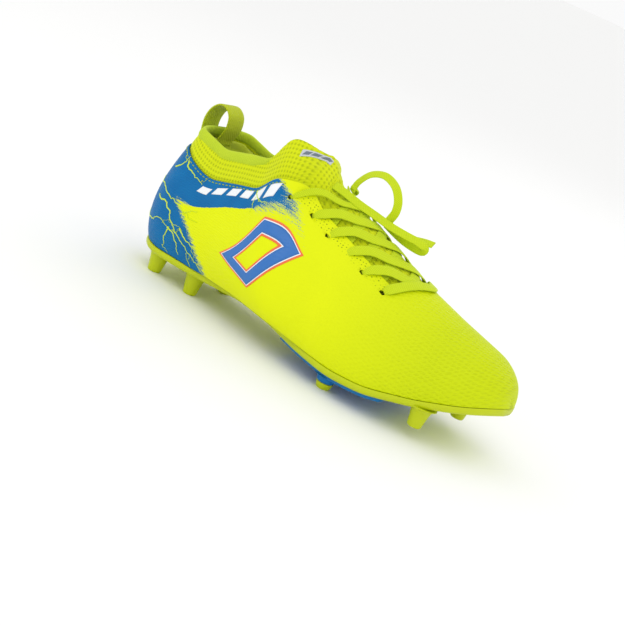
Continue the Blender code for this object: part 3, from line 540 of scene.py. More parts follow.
# the last tone of each knit and woven finish is the painted shade of its low places
finishes = {
    "shell": shellFinish(),
    "knit": knitFinish("diamondKnitPolyester", ("#D2DE08", "#DAE60E"), "#A8B60A"),
    "band": knitFinish("ribbedKnitBand", ("#CEE030", "#C0D82C"), "#A2BA28"),
    "lace": wovenFinish("wovenPolyesterLace", ("#DCEB1C", "#D0E218", "#BED414"), pitch=1.1),
    "webbing": wovenFinish("wovenWebbingTab", ("#CCD818", "#C0CC14", "#ACBA12"), pitch=1.6, depth=0.25),
    "sole": mouldedFinish("mouldedTpuYellow", ("#C6D20C", "#BAC808"), 0.42),
    "blue": mouldedFinish("mouldedTpuBlue", ("#0C74BC", "#086AAE"), 0.38),
    "lining": feltFinish("brushedMeshLining", ("#C4D21A", "#B4C412")),
    "foam": feltFinish("collarFoam", ("#C9D630", "#BCCB2A"), 0.0012),
    "board": feltFinish("pressedFibreBoard", ("#D9D2BC", "#CCC4AC")),
    "stiffener": feltFinish("thermoplasticStiffener", ("#C9C8BE", "#BDBCB2")),
    "label": wovenFinish("wovenSatinLabel", ("#E8EBEF", "#DADEE4", "#C0C5CC"), pitch=0.6, depth=0.08),
    "inkBlue": filmFinish("printedFilmBlue", "#2A6FBC"),
    "inkOrange": filmFinish("printedFilmOrange", "#EE7038"),
    "inkWhite": filmFinish("printedFilmWhite", "#EEF1F4"),
    "vein": filmFinish("raisedPrintYellow", "#C8E22A"),
    "labelBar": wovenFinish("wovenLabelBar", ("#8E98A6", "#828C9A", "#6A7480"), pitch=0.6, depth=0.06),
    "insole": feltFinish("brushedFoamSockliner", ("#C2CF2A", "#B6C424"), 0.0009),
    "thread": wovenFinish("stitchThread", ("#D8EA30", "#CCE024", "#A4B81C"), pitch=0.5, depth=0.05),
}
for node in nodes.values():
    node.data.materials.clear()
print("finishes made")

bow = {
    "width": 6.0, "thickness": 0.9, "facing": (0.45, -1.2, 0.45),
    "standing": ((124, 4, 108.5), (125.8, 4.3, 116), (132, 4, 124), (141.5, 3.5, 127.6), (151, 3, 125),
                 (156.8, 3, 118.5), (158.8, 3, 111), (157, 3, 103.6)),
    "lying": ((117.5, -9, 109.2), (126, -7, 107.8), (137, -4.6, 105.4), (148.5, -2.4, 103.8), (161, -0.3, 102),
              (172, 1.4, 101.4), (181, 3, 101.2), (186.5, 4.2, 99.8), (185.5, 5.2, 96.6), (178, 5, 96.2),
              (168, 5.5, 97.2), (154, 6.5, 100.5)),
    "tail": ((172, 10, 99), (178, 9.6, 100.8), (183.5, 9.2, 102.2), (189, 9, 103)),
    "knotX": 123.0, "knotRise": 3.0, "knotTurns": 1.5,
}


# A length of flat lace along a listed route, turned to show its face to the facing direction.
def bowBand(name, route, count, width=bow["width"]):
    centres = smoothPath(route, count) - heelPoint
    normals = np.cross(unit(np.gradient(centres, axis=0)), (0.0, 1.0, 0.0)) + np.array(bow["facing"])
    return ribbon(name, centres, normals, width, bow["thickness"], material=finishes["lace"]), centres


standing, standingPath = bowBand("laceLoopStanding", bow["standing"], 90)
enter(standing, "lace", "lace_loop_standing")

shell = {"thickness": 1.2, "throatStart": 201.0, "throatEnd": 213.0, "columns": 190, "rows": 112}


# Height fraction of the shell's top edge: the collar edge, then a round-footed throat, then the ridge.
def shellTop(station):
    edge = curve("shellEdge", station)
    part = ramp(station, shell["throatStart"], shell["throatEnd"] - shell["throatStart"])
    return edge + (1 - edge) * (1 - np.sqrt(1 - part ** 2))


# The blue print: the low edge of its band and the front edge of its heel panel, station against fraction.
printArea = {
    "bandLow": ((0, 0.42), (34, 0.42), (45, 0.44), (53, 0.475), (72, 0.555), (95, 0.62), (110, 0.59), (140, 0.56)),
    "heelEdge": ((0, 70), (0.08, 65), (0.19, 55), (0.30, 44), (0.38, 34), (0.46, 30), (1, 30)),
    "bandEnd": (121.0, 0.68, 100.0), "sharpEdge": 0.8, "heelSpray": 13, "endSpray": 16,
}


# Distance in mm inside the print, the larger of band and panel, and how wide its edge is sprayed there.
def printFields(station, fraction):
    low, heel = np.array(printArea["bandLow"]), np.array(printArea["heelEdge"])
    endX, endHeight, slant = printArea["bandEnd"]
    belowBand = (fraction - np.interp(station, low[:, 0], low[:, 1])) * climbOf
    beforeEnd = (endX + (endHeight - fraction) * slant - station) * 0.75
    band = np.minimum(belowBand, beforeEnd)
    panel = (np.interp(fraction, heel[:, 0], heel[:, 1]) - station) * 0.9
    distance = np.maximum(band, panel)
    heelSpray = np.clip(1 - np.abs(panel) / 14, 0, 1) * ramp(fraction, 0.47, -0.06)
    endSpray = ramp(station, 100, 12) * np.clip(1 - belowBand / 16, 0, 1)
    return distance, (printArea["sharpEdge"] + printArea["heelSpray"] * heelSpray
                      + printArea["endSpray"] * endSpray)


# Moulded outer: the surface and a copy a wall's thickness in, columns closer at heel, toe and throat foot.
def buildShell():
    t = np.linspace(0, 1, shell["columns"])
    station = shape["length"] * (t - 0.85 * np.sin(2 * math.pi * t) / (2 * math.pi))
    foot = shell["throatEnd"] - 10 * np.linspace(0.0, 1, 14) ** 2
    station = np.unique(np.round(np.concatenate([station, foot]), 2))
    signed = np.concatenate([-station[::-1], station[1:]])
    side = sideOf(signed)[:, None]
    climb = np.linspace(0, 1, shell["rows"])
    climb = climb - 0.35 * np.sin(2 * math.pi * climb) / (2 * math.pi)
    fraction = climb[None, :] * shellTop(np.abs(signed))[:, None]
    grid = np.broadcast_to(np.abs(signed)[:, None], fraction.shape)
    outer = atDepth(grid, fraction, side, 0.0)
    inner = atDepth(grid, fraction, side, shell["thickness"])
    uv = clothUv(signed, outer)
    quads = gridQuads(*fraction.shape)
    outer, inner = outer.reshape(-1, 3), inner.reshape(-1, 3)
    # eyelets: the surface is drawn aside from each centre, and the quads at the centre are left out
    gone = np.zeros(len(quads), bool)
    radius, reach, core = eyelets["radius"], eyelets["reach"], eyelets["core"]
    for sign in (lateral, medial):
        stations = np.array(eyelets["stations"])
        centres = surface(stations, eyelets["height"], sign)
        axes = surfaceNormal(stations, eyelets["height"], sign)
        onSide = np.broadcast_to(np.sign(signed)[:, None] == sign, fraction.shape).ravel()
        for centre, axis in zip(centres, axes):
            offset = outer - centre
            flat = offset - (offset @ axis)[:, None] * axis
            away = np.linalg.norm(flat, axis=1)
            near = onSide & (away < reach)
            drop = (near & (away < core))[quads].any(axis=1)
            rim = np.unique(quads[drop])
            rim = rim[np.isin(rim, np.unique(quads[~drop & ~gone]))]
            target = np.where(away < core, away, radius + (away - core) * (reach - radius) / (reach - core))
            target[rim] = radius
            push = np.where(near[:, None], flat / np.maximum(away, 1e-6)[:, None] * (target - away)[:, None], 0)
            # a low pressed collar round the hole
            swell = np.where(near, 0.35 * np.exp(-((target - radius - 0.5) / 0.7) ** 2), 0)[:, None] * axis
            outer, inner = outer + push + swell, inner + push
            gone |= drop
    attributes = {}
    attributes["printDistance"], attributes["sprayWidth"] = printFields(grid, fraction)
    # this mask sets both the toe's ripple and the painted shade at the toe
    attributes["toeRippleAndShade"] = ramp(grid, 170, 70) * 0.85 + 0.15 * ramp(grid, 120, 40)
    attributes["rearRibs"] = ramp(grid, 118, -25) * 0.5
    top = shellTop(grid)
    attributes["throatDots"] = (ramp(fraction - top, -0.085, 0.01) * ramp(fraction - top, -0.012, -0.01)
                                * ramp(grid, 128, 5) * ramp(grid, 206, -5))
    return closedSkin("upperShell", outer, inner, quads[~gone], uv, attributes, material=finishes["shell"])


upper = buildShell()
enter(upper, "shell", "upper_shell")
print("shell made")

sock = {"lastStation": 143.0, "columns": 288, "rows": 74, "pitch": 2.5, "dip": 0.34, "thickness": 1.7}


# Bakes a piece's placement into its mesh.
def bendWithFlap(piece):
    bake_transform(piece)


# Diamond knit relief, 0 on the ribs and 1 in the pits: two families of slanted waves, a pitch apart.
def knitRelief(along, up, pitch):
    first = np.cos(math.pi * (along + 0.8 * up) / pitch)
    second = np.cos(math.pi * (along - 0.8 * up) / pitch)
    return np.clip((first * second + 0.15) / 1.15, 0, 1) ** 1.3


# Sock: one knit wall from under the shell's edge to the mouth's rim. Its depth below the surface eases
# from under the shell to over it, and at the front from under the lacing to the free tongue.
def buildSock():
    signed = bothSides(sock["lastStation"], sock["columns"], ease=0.25)
    station = np.abs(signed)
    shellEdge = curve("shellEdge", station)[:, None]
    edge = shellEdge - 0.05
    climb = np.linspace(0, 1, sock["rows"])[None, :]
    fraction = edge + (1 - edge) * climb
    side = sideOf(signed)[:, None]
    over = ramp(fraction, shellEdge, 0.035)
    front = ramp(station, 100, 22)[:, None]
    inside = ramp(fraction - shellEdge, 0.02, 0.10)
    depth = (1.7 - 1.0 * over) * (1 - front) + (3.5 - 2.9 * inside) * front
    depth = depth + 1.6 * ramp(station, 138, 5)[:, None] * inside
    points = atDepth(station[:, None], fraction, side, depth)
    uv = clothUv(signed, points).reshape(points.shape[:2] + (2,)) / mm
    dip = knitRelief(uv[..., 0], uv[..., 1], sock["pitch"])
    # the dip attribute also paints shade into the knit's pits
    return layer("knitSock", signed, fraction, depth + sock["dip"] * dip, depth + sock["thickness"],
                 attributes={"dip": dip}, material=finishes["knit"], body=None)


knitSock = buildSock()
bendWithFlap(knitSock)
enter(knitSock, "knit", "knit_collar", "throat_gusset_lateral", "throat_gusset_medial", "tongue_flap")

band = {"lastStation": 103.0, "columns": 300, "rows": 15, "low": 0.915, "rib": 1.7, "ribHeight": 0.12,
        "half": 1.75}


# Rolled band on the mouth rim: its section swells to an ellipse, with small ribs across it.
def buildBand():
    signed = bothSides(band["lastStation"], band["columns"], ease=0.2)
    station = np.abs(signed)
    climb = np.linspace(0, 1, band["rows"])[None, :]
    climb = (1 - np.cos(math.pi * climb)) / 2
    low = 1 - (1 - band["low"]) * np.clip((band["lastStation"] + 6 - station) / 30, 0.2, 1)[:, None]
    fraction = low + (1.012 - low) * climb
    swell = np.sqrt(np.clip(4 * climb * (1 - climb), 0, 1))
    taper = np.clip((band["lastStation"] + 1 - station) / 12, 0.25, 1)[:, None]
    half = band["half"] * swell * taper
    wave = np.cos(2 * math.pi * signed / band["rib"])[:, None]
    rib = band["ribHeight"] * wave * swell
    middle = 1.6 + 0.6 * (1 - taper)
    # dip is high between the ribs, where the knit finish paints shade
    dip = (0.5 - 0.5 * wave) * np.ones_like(fraction)
    return layer("collarBand", signed, np.minimum(fraction, 1.02), middle - half - rib, middle + half,
                 attributes={"dip": dip * 0.5}, material=finishes["band"], body=None)


collarBand = buildBand()
bendWithFlap(collarBand)
enter(collarBand, "band", "collar_band")


tongueKnit = {"range": (142.0, 217.0), "halfWidth": 42.0, "pitch": 3.4, "dip": 0.35, "thickness": 1.5}


# Lower tongue under the lacing: a knit wall across the ridge, raised between the throat's edges.
def buildTongue():
    station = np.linspace(*tongueKnit["range"], 160)
    across = np.linspace(-1, 1, 121)
    span = 1 - curve("shellEdge", station) + 0.05
    fraction = 1 - np.abs(across)[None, :] * span[:, None]
    side = sideOf(across)[None, :]
    grid = np.broadcast_to(station[:, None], fraction.shape)
    width = across[None, :] * tongueKnit["halfWidth"] * np.ones_like(fraction)
    dip = knitRelief(width, grid, tongueKnit["pitch"])
    depth = 3.3 - 1.7 * ramp(np.abs(across), 0.72, -0.2)[None, :] ** 0.7
    outer = atDepth(grid, fraction, side, depth + tongueKnit["dip"] * dip)
    inner = atDepth(grid, fraction, side, depth + tongueKnit["thickness"])
    uv = np.stack([width, grid], axis=-1).reshape(-1, 2) * mm
    # the dip attribute also paints shade into the knit's pits
    return closedSkin("tongueMesh", outer.reshape(-1, 3), inner.reshape(-1, 3), gridQuads(*fraction.shape), uv,
                      {"dip": dip}, material=finishes["knit"])


tongue = buildTongue()
enter(tongue, "knit", "tongue_lower")
print("sock made")

lacing = {"width": 6.9, "firstWidth": 4.6, "footWidth": 6.8, "holeWidth": 2.6, "thickness": 1.0,
          "eyeletRise": 1.5, "firstRise": 2.4, "over": 0.1, "under": -1.3, "end": -2.3,
          "frontLimit": 203.0, "limitStep": 1.5,   # no bar runs past the limit, which steps back bar by bar
          # how far forward a bar has run, by the height fraction that it has climbed; 1 is the ridge
          "run": ((0.63, 0), (0.70, 5), (0.78, 12), (0.85, 22), (0.95, 30), (1.0, 33), (1.05, 36), (1.15, 40),
                  (1.25, 43), (1.37, 44))}


# Station whose section passes through x at the given height fraction.
def stationAt(x, fraction, side):
    stations = np.linspace(60, 260, 401)
    along = surface(stations[:, None], np.atleast_1d(fraction)[None, :], side)[..., 0] + heelPoint[0]
    return np.array([np.interp(px, along[:, i], stations) for i, px in enumerate(np.atleast_1d(x))])


# Points and normals of a band that follows the upper, x moving evenly, at the given rise over the surface.
def overUpper(x, fraction, side, rise):
    station = np.zeros(len(x))
    for sign in (lateral, medial):
        mine = side == sign
        if mine.any():
            station[mine] = stationAt(x[mine], fraction[mine], sign)
    return atDepth(station, fraction, side, -rise), surfaceNormal(station, np.minimum(fraction, 0.985), side)


# How far from the heel an eyelet is, in mm.
def eyeletX(number, side):
    return surface(eyelets["stations"][number], eyelets["height"], side)[0] + heelPoint[0]


# A bar leaves its eyelet, rises over the throat's edge, crosses the ridge and dives under the other edge.
# The rises over the surface stand at even steps of t; under bars run less far forward.
def laceBar(number, side, over):
    t = np.linspace(0, 1, 70)
    ridge = lacing["over"] if over else lacing["under"]
    start = lacing["firstRise"] if number == 0 else lacing["eyeletRise"]
    rises = (-1.6, start * 0.75, start, start, ridge, ridge, lacing["under"], lacing["end"])
    rise = np.interp(t, (0.0, 0.035, 0.07, 0.21, 0.31, 0.69, 0.76, 1.0), rises)
    rise = smoothRows(rise[:, None], 7)[:, 0]
    climb = t * 2 * (1 - eyelets["height"]) * 0.93
    onStart = climb <= 1 - eyelets["height"]
    fraction = np.minimum(np.where(onStart, eyelets["height"] + climb, 2 - eyelets["height"] - climb), 0.998)
    sides = np.where(onStart, side, -side)
    reach = np.interp(eyelets["height"] + climb, *zip(*lacing["run"])) * (1.0 if over else 0.62)
    x = np.minimum(eyeletX(number, side) + reach, lacing["frontLimit"] - lacing["limitStep"] * (4 - number))
    centres, normals = overUpper(x, fraction, sides, rise)
    smooth = smoothRows(centres, 11)
    smooth[[0, -1]] = centres[[0, -1]]
    normals = smoothRows(normals, 15)
    sway = np.sin(math.pi * t) * np.sin(2.3 * number + side * 1.1 + 5 * t) * 0.7
    smooth = smooth + np.stack([sway, np.zeros_like(t), np.zeros_like(t)], axis=1)
    full = lacing["firstWidth"] if number == 0 else lacing["width"]
    width = lacing["holeWidth"] + (full - lacing["holeWidth"]) * ramp(t, 0, 0.10) ** 0.6
    name = ("laceBarOver" if over else "laceBarUnder") + str(number + 1)
    piece = ribbon(name, smooth, normals, width, lacing["thickness"], material=finishes["lace"])
    enter(piece, "lace", f"lace_bar_{'over' if over else 'under'}_{number + 1}")


for number in range(len(eyelets["stations"]) - 1):
    laceBar(number, medial, False)
    laceBar(number, lateral, True)


# The last bar runs straight across between the two front eyelets.
def footBar():
    last = len(eyelets["stations"]) - 1
    t = np.linspace(-1, 1, 61)
    fraction = np.minimum(1 - np.abs(t) * (1 - eyelets["height"] - 0.005), 0.998)
    rise = np.interp(np.abs(t), (0, 0.9, 0.96, 1), (1.6, 1.5, 1.0, -1.2))
    x = eyeletX(last, lateral) + np.interp(fraction, (0.63, 0.71, 0.83, 1.0), (0, 4, 9, 16.5))
    centres, normals = overUpper(x, fraction, sideOf(t), rise)
    centres, normals = smoothRows(centres, 9), smoothRows(normals, 11)
    hole = lacing["holeWidth"]
    width = hole + (lacing["footWidth"] - hole) * ramp(np.abs(t), 1, -0.12) ** 0.6
    piece = ribbon("laceBarFoot", centres, normals, width, lacing["thickness"], material=finishes["lace"])
    enter(piece, "lace", "lace_bar_foot")


footBar()
lying = bowBand("laceLoopLying", bow["lying"], 110)[0]
enter(lying, "lace", "lace_loop_lying")
tail = bowBand("laceTail", bow["tail"], 24, width=5.4)[0]
enter(tail, "lace", "lace_tail")


# Flat knot: a band wrapped one and a half turns round the crossing, each turn a flattened ellipse.
def buildKnot():
    station = stationAt([bow["knotX"]], np.array([0.9]), medial)
    normal = surfaceNormal(station, 0.9, medial)[0]
    centre = atDepth(station, 0.9, medial, -bow["knotRise"])[0]
    forward = unit(np.cross((0.0, 1.0, 0.0), normal))
    sideways = np.cross(normal, forward)
    t = np.linspace(0, 1, 60)
    turn = 2 * math.pi * bow["knotTurns"] * t
    centres = (centre + forward * ((t - 0.5) * 3.4)[:, None] + sideways * (np.cos(turn) * 4.0)[:, None]
               + normal * (np.sin(turn) * 1.5)[:, None])
    normals = sideways * (np.cos(turn) * 1.5)[:, None] + normal * (np.sin(turn) * 4.0)[:, None]
    return ribbon("laceKnot", centres, normals, 3.6, 1.0, material=finishes["lace"])


knot = buildKnot()
enter(knot, "lace", "lace_knot")
print("laces made")

pullTab = {"width": 18.0, "thickness": 1.4, "axisX": 17.0, "axisZ": 103.0,
           "route": ((10.0, 89.5), (10.3, 94), (8.6, 99.5), (8, 107), (10.2, 114), (15, 118.6), (20.5, 118.6),
                     (25.3, 114.2), (26.6, 107), (25, 101), (23.4, 97), (23.2, 93))}


# Webbing loop over the heel.
def buildPullTab():
    centres = smoothPath([(x, 0, z) for x, z in pullTab["route"]], 120) - heelPoint
    normals = np.cross((0.0, 1.0, 0.0), np.gradient(centres, axis=0))
    piece = ribbon("pullTabWebbing", centres, normals, pullTab["width"], pullTab["thickness"], around=44,
                   flatness=0.35, material=finishes["webbing"], body=None)
    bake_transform(piece)
    enter(piece, "webbing", "pull_tab", "pull_tab_end_outer", "pull_tab_end_inner")


buildPullTab()

sole = {"rim": 0.9, "thickness": 5.0, "topGap": 0.3, "insertRange": (140.0, 220.0), "insertInset": 4.2,
        "insertThickness": 2.4, "studTip": 4.6, "studRoot": 6.4, "tipHeight": 4.0,
        "heelStuds": ((24.0, -19.5), (24.0, 19.5), (57.0, -20.5), (57.0, 20.5)),
        "frontStuds": ((243.0, -27.0), (243.0, 34.0)), "middleStuds": ((181.0, -35.0), (176.0, 33.0))}


# Layer of the sole: each cross section is a slab with rounded corners, its ends drawn to a point.
def soleLayer(first, last, count, widths, inset, topOffset, thickness, lowRound, highRound):
    station = first + (last - first) * (1 - np.cos(np.linspace(0, math.pi, count))) / 2
    rounding = planRounding(station)
    half = [np.maximum(curve(width, station) * rounding - inset, 0.6) for width in widths]
    top = curve("edgeHeight", station) + topOffset
    low = top - thickness
    arc = np.linspace(0, math.pi / 2, 7)
    lowR = np.minimum(lowRound, np.minimum(*half) * 0.7)[:, None]
    highR = np.minimum(highRound, np.minimum(*half) * 0.7)[:, None]
    across = np.linspace(-1, 1, 13)[None, 1:-1]
    left, right = -half[0][:, None], half[1][:, None]
    y = np.concatenate([left + lowR * (1 - np.sin(arc)), left + highR * (1 - np.cos(arc)),
                        (left + highR) + (right - left - 2 * highR) * (across + 1) / 2,
                        right - highR * (1 - np.sin(arc)), right - lowR * (1 - np.cos(arc)),
                        (right - lowR) + (left - right + 2 * lowR) * (across + 1) / 2], axis=1)
    z = np.concatenate([low[:, None] + lowR * (1 - np.cos(arc)), top[:, None] - highR * (1 - np.sin(arc)),
                        top[:, None] + 0 * across, top[:, None] - highR * (1 - np.cos(arc)),
                        low[:, None] + lowR * (1 - np.sin(arc)), low[:, None] + 0 * across], axis=1)
    x = np.broadcast_to((station + heelShift(station))[:, None], y.shape)
    points = np.stack([x, y + curve("centreLine", station)[:, None], z], axis=-1) - heelPoint
    return closedTube(points, points[[0, -1]].mean(axis=1, keepdims=True))


# Stud: a profile turned about a vertical axis, flaring into the plate at its root.
def studMesh(station, offset, low, high, tip, root, flare):
    tall = high - low
    r = np.array([0, tip - 0.9, tip - 0.35, tip, tip + (root - tip) * 0.5, root, root + flare * 0.3, root + flare,
                  root + flare, 0])
    z = np.array([0, 0, 0.2, 0.9, tall * 0.45, tall * 0.78, tall * 0.9, tall * 0.97, tall, tall]) + low
    turn = np.linspace(0, 2 * math.pi, 40, endpoint=False)
    dense = np.linspace(0, len(r) - 1, 46)
    rDense, zDense = np.interp(dense, np.arange(len(r)), r), np.interp(dense, np.arange(len(z)), z)
    kernel = np.array([1, 2, 3, 2, 1]) / 9
    inner = slice(6, -10)
    rSmooth = np.convolve(np.pad(rDense, 2, mode="edge"), kernel, mode="valid")
    rDense[inner] = rSmooth[inner]
    points = np.stack([station + rDense[:, None] * np.cos(turn), offset + rDense[:, None] * np.sin(turn),
                       np.broadcast_to(zDense[:, None], (46, 40))], axis=-1) - heelPoint
    flat = points.reshape(-1, 3)
    number, firsts = weldNumbers(flat)
    return flat[firsts], number[gridQuads(46, 40, wrap=True)]


# Several closed meshes in one piece, each turned to face outwards first.
def joinParts(name, parts, material, body="shoe"):
    starts = np.cumsum([0] + [len(points) for points, quads in parts])
    quads = [(quads if volumeOf(points, quads) > 0 else quads[:, ::-1]) + start
             for (points, quads), start in zip(parts, starts)]
    return fillMesh(name, np.concatenate([part[0] for part in parts]), np.concatenate(quads), material=material,
                    body=body)


# Height of a stud's tip: 0, or lifted by the toe spring under the front studs.
def studGround(station):
    spring = float(curve("edgeHeight", station)) - float(curve("edgeHeight", 185.0)) - 1.5
    return max(0.0, spring) if station > 200 else 0.0


# Yellow plate with its studs, the blue forefoot layer under it with two more, and their yellow tips.
def buildSole():
    plateWidths = ("plateWidth", "plateWidth")
    parts = [soleLayer(0.6, shape["length"] - 0.6, 220, plateWidths, -sole["rim"], -sole["topGap"],
                       sole["thickness"], 3.2, 0.9)]
    for station, offset in sole["heelStuds"] + sole["frontStuds"]:
        high = float(curve("edgeHeight", station)) - sole["thickness"] + 1.0
        parts.append(studMesh(station, offset, studGround(station), high, sole["studTip"], sole["studRoot"], 3.0))
    plate = joinParts("outsolePlate", parts, finishes["sole"])
    enter(plate, "sole", "outsole_plate")
    under = -sole["topGap"] * 2 - sole["thickness"]
    parts = [soleLayer(*sole["insertRange"], 120, plateWidths, sole["insertInset"], under,
                       sole["insertThickness"], 1.1, 0.3)]
    tips = []
    for station, offset in sole["middleStuds"]:
        high = float(curve("edgeHeight", station)) + under - sole["insertThickness"] + 0.6
        parts.append(studMesh(station, offset, sole["tipHeight"] + 0.3, high, sole["studTip"] + 1.0,
                              sole["studRoot"] + 0.2, 3.0))
        tips.append(studMesh(station, offset, 0.0, sole["tipHeight"] + 0.2, sole["studTip"], sole["studTip"] + 0.9,
                             0.0))
    insert = joinParts("forefootInsert", parts, finishes["blue"])
    enter(insert, "blue", "forefoot_insert")
    for tip, label in zip(tips, ("lateral", "medial")):
        piece = joinParts("studTip" + label.capitalize(), [tip], finishes["sole"])
        enter(piece, "sole", "stud_tip_" + label)


buildSole()
print("sole made")

marks = {
    "badgeCorners": ((83, 0.25), (116, 0.53), (149, 0.46), (115, 0.14)), "badgeStroke": 5.6,
    "dashes": 6, "dashLine": ((49, 0.605), (60, 0.645), (75, 0.685), (90, 0.71), (104, 0.70), (113, 0.675)),
    "dashSize": (8.8, 6.2, 3.2),
    "veinWidth": 1.25, "seed": 7,
    "veins": (((0, 0.47), (13, 0.45), (26, 0.41), (39, 0.375), (50, 0.43)),
              ((15, 0.34), (25, 0.35), (33, 0.25), (43, 0.16), (56, 0.10), (68, 0.02)),
              ((0, 0.17), (12, 0.16), (23, 0.20), (31, 0.18)), ((34, 0.21), (31, 0.10), (30, 0.03)),
              ((31, 0.19), (39, 0.13), (46, 0.03)), ((42, 0.20), (52, 0.19), (60, 0.165)),
              ((95, 0.735), (104, 0.66), (113, 0.58)), ((16, 0.60), (22, 0.68), (24, 0.77)),
              ((27, 0.73), (30, 0.67), (37, 0.655), (47, 0.64))),
}


# A quadrilateral moved inwards by distance: each new corner is where two moved sides meet.
def insetQuad(corners, distance):
    corners = np.array(corners, float)
    middle = corners.mean(axis=0)
    sides = np.roll(corners, -1, axis=0) - corners
    normal = np.stack([-sides[:, 1], sides[:, 0]], axis=1) / np.linalg.norm(sides, axis=1, keepdims=True)
    normal = normal * np.sign(np.einsum("ij,ij->i", normal, middle - corners))[:, None]
    reach = np.einsum("ij,ij->i", normal, corners) + distance
    return np.array([np.linalg.solve(np.stack([normal[i - 1], normal[i]]), [reach[i - 1], reach[i]])
                     for i in range(4)])


# A thin film on the shell between two outlines with matching points, in station and climbed millimetres.
def film(name, outlineA, outlineB, rise, material, side, closed=True, body="shoe", steps=5, depthBelow=0.12):
    blend = np.linspace(0, 1, steps)[:, None, None]
    grid = outlineA[None] * (1 - blend) + outlineB[None] * blend
    station, fraction = grid[..., 0], grid[..., 1] / climbOf
    outer = atDepth(station, fraction, side, -rise)
    inner = atDepth(station, fraction, side, depthBelow)
    quads = gridQuads(*station.shape, wrap=closed)
    return closedSkin(name, outer.reshape(-1, 3), inner.reshape(-1, 3), quads, grid.reshape(-1, 2) * mm,
                      material=material, body=body)


# Even steps along each side of a closed outline.
def outline(corners, each):
    ends = np.roll(corners, -1, axis=0)
    t = np.linspace(0, 1, each, endpoint=False)[None, :, None]
    return (corners[:, None] * (1 - t) + ends[:, None] * t).reshape(-1, 2)


# Badge: a plain slanted frame, blue between thin white and orange lines.
def buildBadge(side, label):
    corners = np.array(marks["badgeCorners"], float) * (1, climbOf)
    stroke = marks["badgeStroke"]
    for part, start, end, rise, finish in (
            ("OrangeOuter", 0.0, 1.0, 0.16, "inkOrange"), ("WhiteOuter", 1.0, 1.5, 0.18, "inkWhite"),
            ("Blue", 1.5, 1.5 + stroke, 0.22, "inkBlue"),
            ("WhiteInner", 1.5 + stroke, 2.0 + stroke, 0.18, "inkWhite"),
            ("OrangeInner", 2.0 + stroke, 3.0 + stroke, 0.16, "inkOrange")):
        a, b = outline(insetQuad(corners, start), 40), outline(insetQuad(corners, end), 40)
        piece = film("badge" + part + label, a, b, rise, finishes[finish], side)


# Slanted dashes evenly along a line, each sheared by lean and tilted to the line's slope.
def buildDashes(side, label):
    line = np.array(marks["dashLine"]) * (1, climbOf)
    long, tall, lean = marks["dashSize"]
    for i, centre in enumerate(np.linspace(line[0, 0], line[-1, 0], marks["dashes"])):
        before, height, after = np.interp([centre - 3, centre, centre + 3], line[:, 0], line[:, 1])
        slope = (after - before) / 6
        along = np.linspace(-long / 2, long / 2, 12)
        top = np.stack([centre + along + lean / 2, height + tall / 2 + slope * along], axis=1)
        low = np.stack([centre + along - lean / 2, height - tall / 2 + slope * along], axis=1)
        piece = film(f"dash{i + 1}{label}", low, top, 0.2, finishes["inkWhite"], side, closed=False, steps=8)


# Crackle: each vein wanders about its line, thins towards its end, and sends off short twigs.
def veinMesh(points, width, random, side, twigs=True):
    points = np.array(points, float) * (1, climbOf)
    count = max(12, int(lengthAlong(points)[-1] / 1.3))
    path = smoothPath(np.column_stack([points, np.zeros(len(points))]), count)[:, :2]
    wander = random.normal(0, 0.3, (count, 2))
    path = path + wander + smoothRows(random.normal(0, 1.5, (count, 2)), 7)
    path[:, 0] = np.maximum(path[:, 0], 0.05)
    path[:, 1] = np.clip(path[:, 1], 1.0, 77)
    station, fraction = path[:, 0], path[:, 1] / climbOf
    centres = atDepth(station, fraction, side, -0.10)
    normals = surfaceNormal(station, fraction, side)
    taper = width * (1 - 0.75 * np.linspace(0, 1, count) ** 0.8)
    meshes = [ribbonMesh(centres, normals, taper, 0.42, around=8, flatness=0.8)[:2]]
    if twigs:
        for start in random.choice(np.arange(2, count - 2), size=max(1, count // 16), replace=False):
            direction = path[min(start + 2, count - 1)] - path[start - 2]
            angle = random.choice([-1, 1]) * random.uniform(0.5, 1.1)
            direction = direction / max(np.linalg.norm(direction), 1e-6) * random.uniform(6, 13)
            turned = np.array([direction[0] * math.cos(angle) - direction[1] * math.sin(angle),
                               direction[0] * math.sin(angle) + direction[1] * math.cos(angle)])
            twig = np.array([path[start], path[start] + turned * 0.5, path[start] + turned]) / (1, climbOf)
            twig[:, 0] = np.maximum(twig[:, 0], 0.1)
            meshes += veinMesh(twig, taper[start] * 0.6, random, side, twigs=False)
    return meshes


# All veins of one side in one piece, drawn from one seeded run of numbers.
def buildVeins(side, label):
    random = np.random.default_rng(marks["seed"])
    meshes = []
    for line in marks["veins"]:
        meshes += veinMesh(line, marks["veinWidth"], random, side)
    joinParts("crackleVeins" + label, meshes, finishes["vein"])


for side, label in ((lateral, "Lateral"), (medial, "Medial")):
    buildBadge(side, label)
    buildDashes(side, label)
    buildVeins(side, label)
print("marks made")


# Woven label on the tongue: a satin patch with three plain bars. A strip climbs slowly towards the ridge.
tongueLabel = {"start": 121.0, "end": 134.0, "half": 2.6, "barHalf": 1.5, "barLength": 3.0, "lean": 0.6,
               "bars": (122.4, 126.2, 130.0)}


# A strip of the label: half is half its height, lean shears its ends.
def labelStrip(name, first, last, count, half, lean, rise, finish, **rest):
    along = np.linspace(first, last, count)
    middle = (0.9 + 0.045 * (along - tongueLabel["start"]) / 13) * climbOf
    low, top = (np.stack([along + end * lean, middle + end * half], axis=1) for end in (-1, 1))
    return film(name, low, top, rise, finishes[finish], lateral, closed=False, body="flap", **rest)


